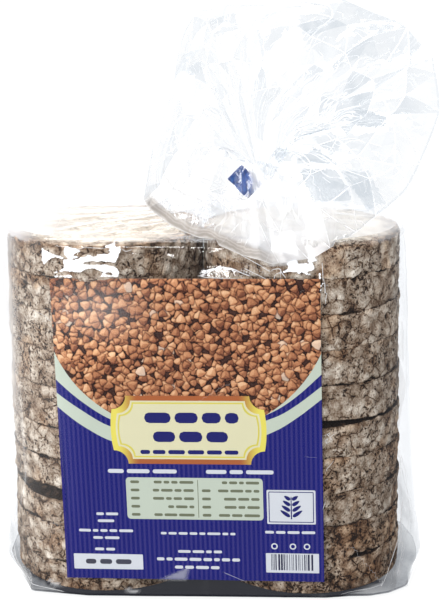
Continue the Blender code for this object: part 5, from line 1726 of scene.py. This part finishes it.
def tape_material():
    mat, t, out = new_material("blue_tape")
    coord = node(t, "ShaderNodeTexCoord").outputs["Object"]
    turned = node(t, "ShaderNodeMapping", {"Vector": coord, "Rotation": (0.0, NECK_LEAN, 0.0), "Scale": (1.0, 1.0, 0.12)})
    streak = node(t, "ShaderNodeTexNoise", {"Vector": turned.outputs[0], "Scale": 900.0, "Detail": 2.0, "Roughness": 0.6})
    blotch = node(t, "ShaderNodeTexNoise", {"Vector": coord, "Scale": 260.0, "Detail": 2.0})
    tone = calc(t, "MULTIPLY_ADD", blotch.outputs["Fac"], 0.5, calc(t, "MULTIPLY", streak.outputs["Fac"], 0.5))
    colour = ramp(t, tone, ((0.36, (0.005, 0.020, 0.110)), (0.52, (0.010, 0.052, 0.240)), (0.64, (0.022, 0.110, 0.36)), (0.76, (0.10, 0.24, 0.52))))
    bump = node(t, "ShaderNodeBump", {"Strength": 0.6, "Distance": 0.0004, "Height": streak.outputs["Fac"]})
    shader = node(t, "ShaderNodeBsdfPrincipled", {"Base Color": colour, "Roughness": 0.42, "Specular IOR Level": 0.16, "Normal": bump.outputs[0]})
    t.links.new(shader.outputs[0], out.inputs["Surface"])
    return mat


# ------------------------------------------------------- floor, light, camera
def make_stage():
    mat, t, out = new_material("floor_white")
    coord = node(t, "ShaderNodeTexCoord").outputs["Object"]
    grain = node(t, "ShaderNodeTexNoise", {"Vector": coord, "Scale": 3.0, "Detail": 2.0})
    colour = ramp(t, grain.outputs["Fac"], ((0.3, (0.100, 0.1004, 0.101)), (0.7, (0.104, 0.1043, 0.105))))
    shader = node(t, "ShaderNodeBsdfPrincipled", {"Base Color": colour, "Roughness": 0.9, "Specular IOR Level": 0.05})
    # the table glows a little, so that shadows on it stay faint
    shader.inputs["Emission Color"].default_value = (1.0, 1.0, 1.0, 1.0)
    shader.inputs["Emission Strength"].default_value = 0.92
    t.links.new(shader.outputs[0], out.inputs["Surface"])
    ring = [(14000.0 * math.cos(a), 14000.0 * math.sin(a), 0.0) for a in np.linspace(0, 2 * math.pi, 97)[:-1]]
    floor = link("floor", mesh_from("floor", ring, [list(range(96))]), mat, smooth=False)
    # the film mirrors the dim front of the studio, not the table
    floor.visible_glossy = False

    world = bpy.data.worlds.new("studio")
    scene.world = world
    world.use_nodes = True
    w = world.node_tree
    w.nodes.clear()
    wout = w.nodes.new("ShaderNodeOutputWorld")
    back = w.nodes.new("ShaderNodeBackground")
    way = node(w, "ShaderNodeTexCoord").outputs["Generated"]
    # bright behind and to the left, dimmer in front
    depth = vec(w, "DOT_PRODUCT", way, (-0.68, 0.72, 0.10))
    depth = calc(w, "MULTIPLY_ADD", depth, 0.5, 0.5)
    colour = ramp(w, depth, (
        (0.0, (0.21, 0.22, 0.24)), (0.30, (0.38, 0.39, 0.41)), (0.50, (0.80, 0.82, 0.85)),
        (0.70, (1.40, 1.41, 1.43)), (1.0, (1.75, 1.75, 1.75))))
    w.links.new(colour, back.inputs["Color"])
    back.inputs["Strength"].default_value = 1.0
    w.links.new(back.outputs[0], wout.inputs["Surface"])

    sun = bpy.data.lights.new("top_light", "SUN")
    sun.energy = 2.8
    sun.angle = math.radians(50)
    obj = bpy.data.objects.new("top_light", sun)
    obj.rotation_euler = (math.radians(-15), math.radians(-5), 0.0)
    scene.collection.objects.link(obj)

    # soft boxes in front; they leave the floor alone
    lit = bpy.data.collections.new("lit_by_front_boxes")
    lit.objects.link(floor)
    lit.collection_objects[0].light_linking.link_state = "EXCLUDE"
    aim = Vector((0.0, 0.0, 0.10))
    for name, size, power, turn, rise, away in (
            ("front_box", 0.36, 10.0, -9, 23, 1.5),
            ("left_box", 0.36, 9.6, -40, 24, 1.5)):
        box = bpy.data.lights.new(name, "AREA")
        box.shape = "SQUARE"
        box.size = size
        box.energy = power
        obj = bpy.data.objects.new(name, box)
        turn, rise = math.radians(turn), math.radians(rise)
        obj.location = aim + Vector((away * math.cos(rise) * math.sin(turn), -away * math.cos(rise) * math.cos(turn), away * math.sin(rise)))
        obj.rotation_euler = (aim - obj.location).to_track_quat("-Z", "Y").to_euler()
        scene.collection.objects.link(obj)
        obj.light_linking.receiver_collection = lit


def make_camera():
    data = bpy.data.cameras.new("camera")
    data.sensor_width = 36.0
    data.lens = 1454.0 / 600.0 * 36.0
    data.clip_start = 0.01
    data.clip_end = 60.0
    cam = bpy.data.objects.new("camera", data)
    cam.location = (0.03035, -0.65211, 0.30492)
    cam.rotation_euler = (math.radians(90.0 - 15.229), 0.0, math.radians(1.877))
    scene.collection.objects.link(cam)
    scene.camera = cam


scene.view_settings.view_transform = "Standard"
scene.cycles.transparent_max_bounces = 64
make_camera()
make_stage()
cakes = make_cakes()
label = make_label()
clear_film = film_material("clear_film", (0.965, 0.972, 0.982), (0.700, 0.718, 0.735), (0.90, 0.91, 0.93), strokes=True)
loose_film = film_material("loose_film", (0.955, 0.963, 0.972), (0.610, 0.655, 0.700), (0.90, 0.91, 0.93), wrinkle=0.5, back_gloss=1.0, most=0.10, lines=True)
# the film under the pack has a near-black milky layer: painted shade
under_film = film_material("under_film", (0.84, 0.855, 0.87), (0.42, 0.44, 0.47), (0.017, 0.018, 0.027), wrinkle=0.8)
body, top_ring = make_body(clear_film)
shoulder = make_shoulder(top_ring, clear_film)
tail = make_tail(loose_film)
base = make_base(under_film)
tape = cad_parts["neck_tape"]
tape.data.materials.clear()
tape.data.materials.append(tape_material())
for piece in (body, shoulder, tail, base):
    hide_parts("bag")
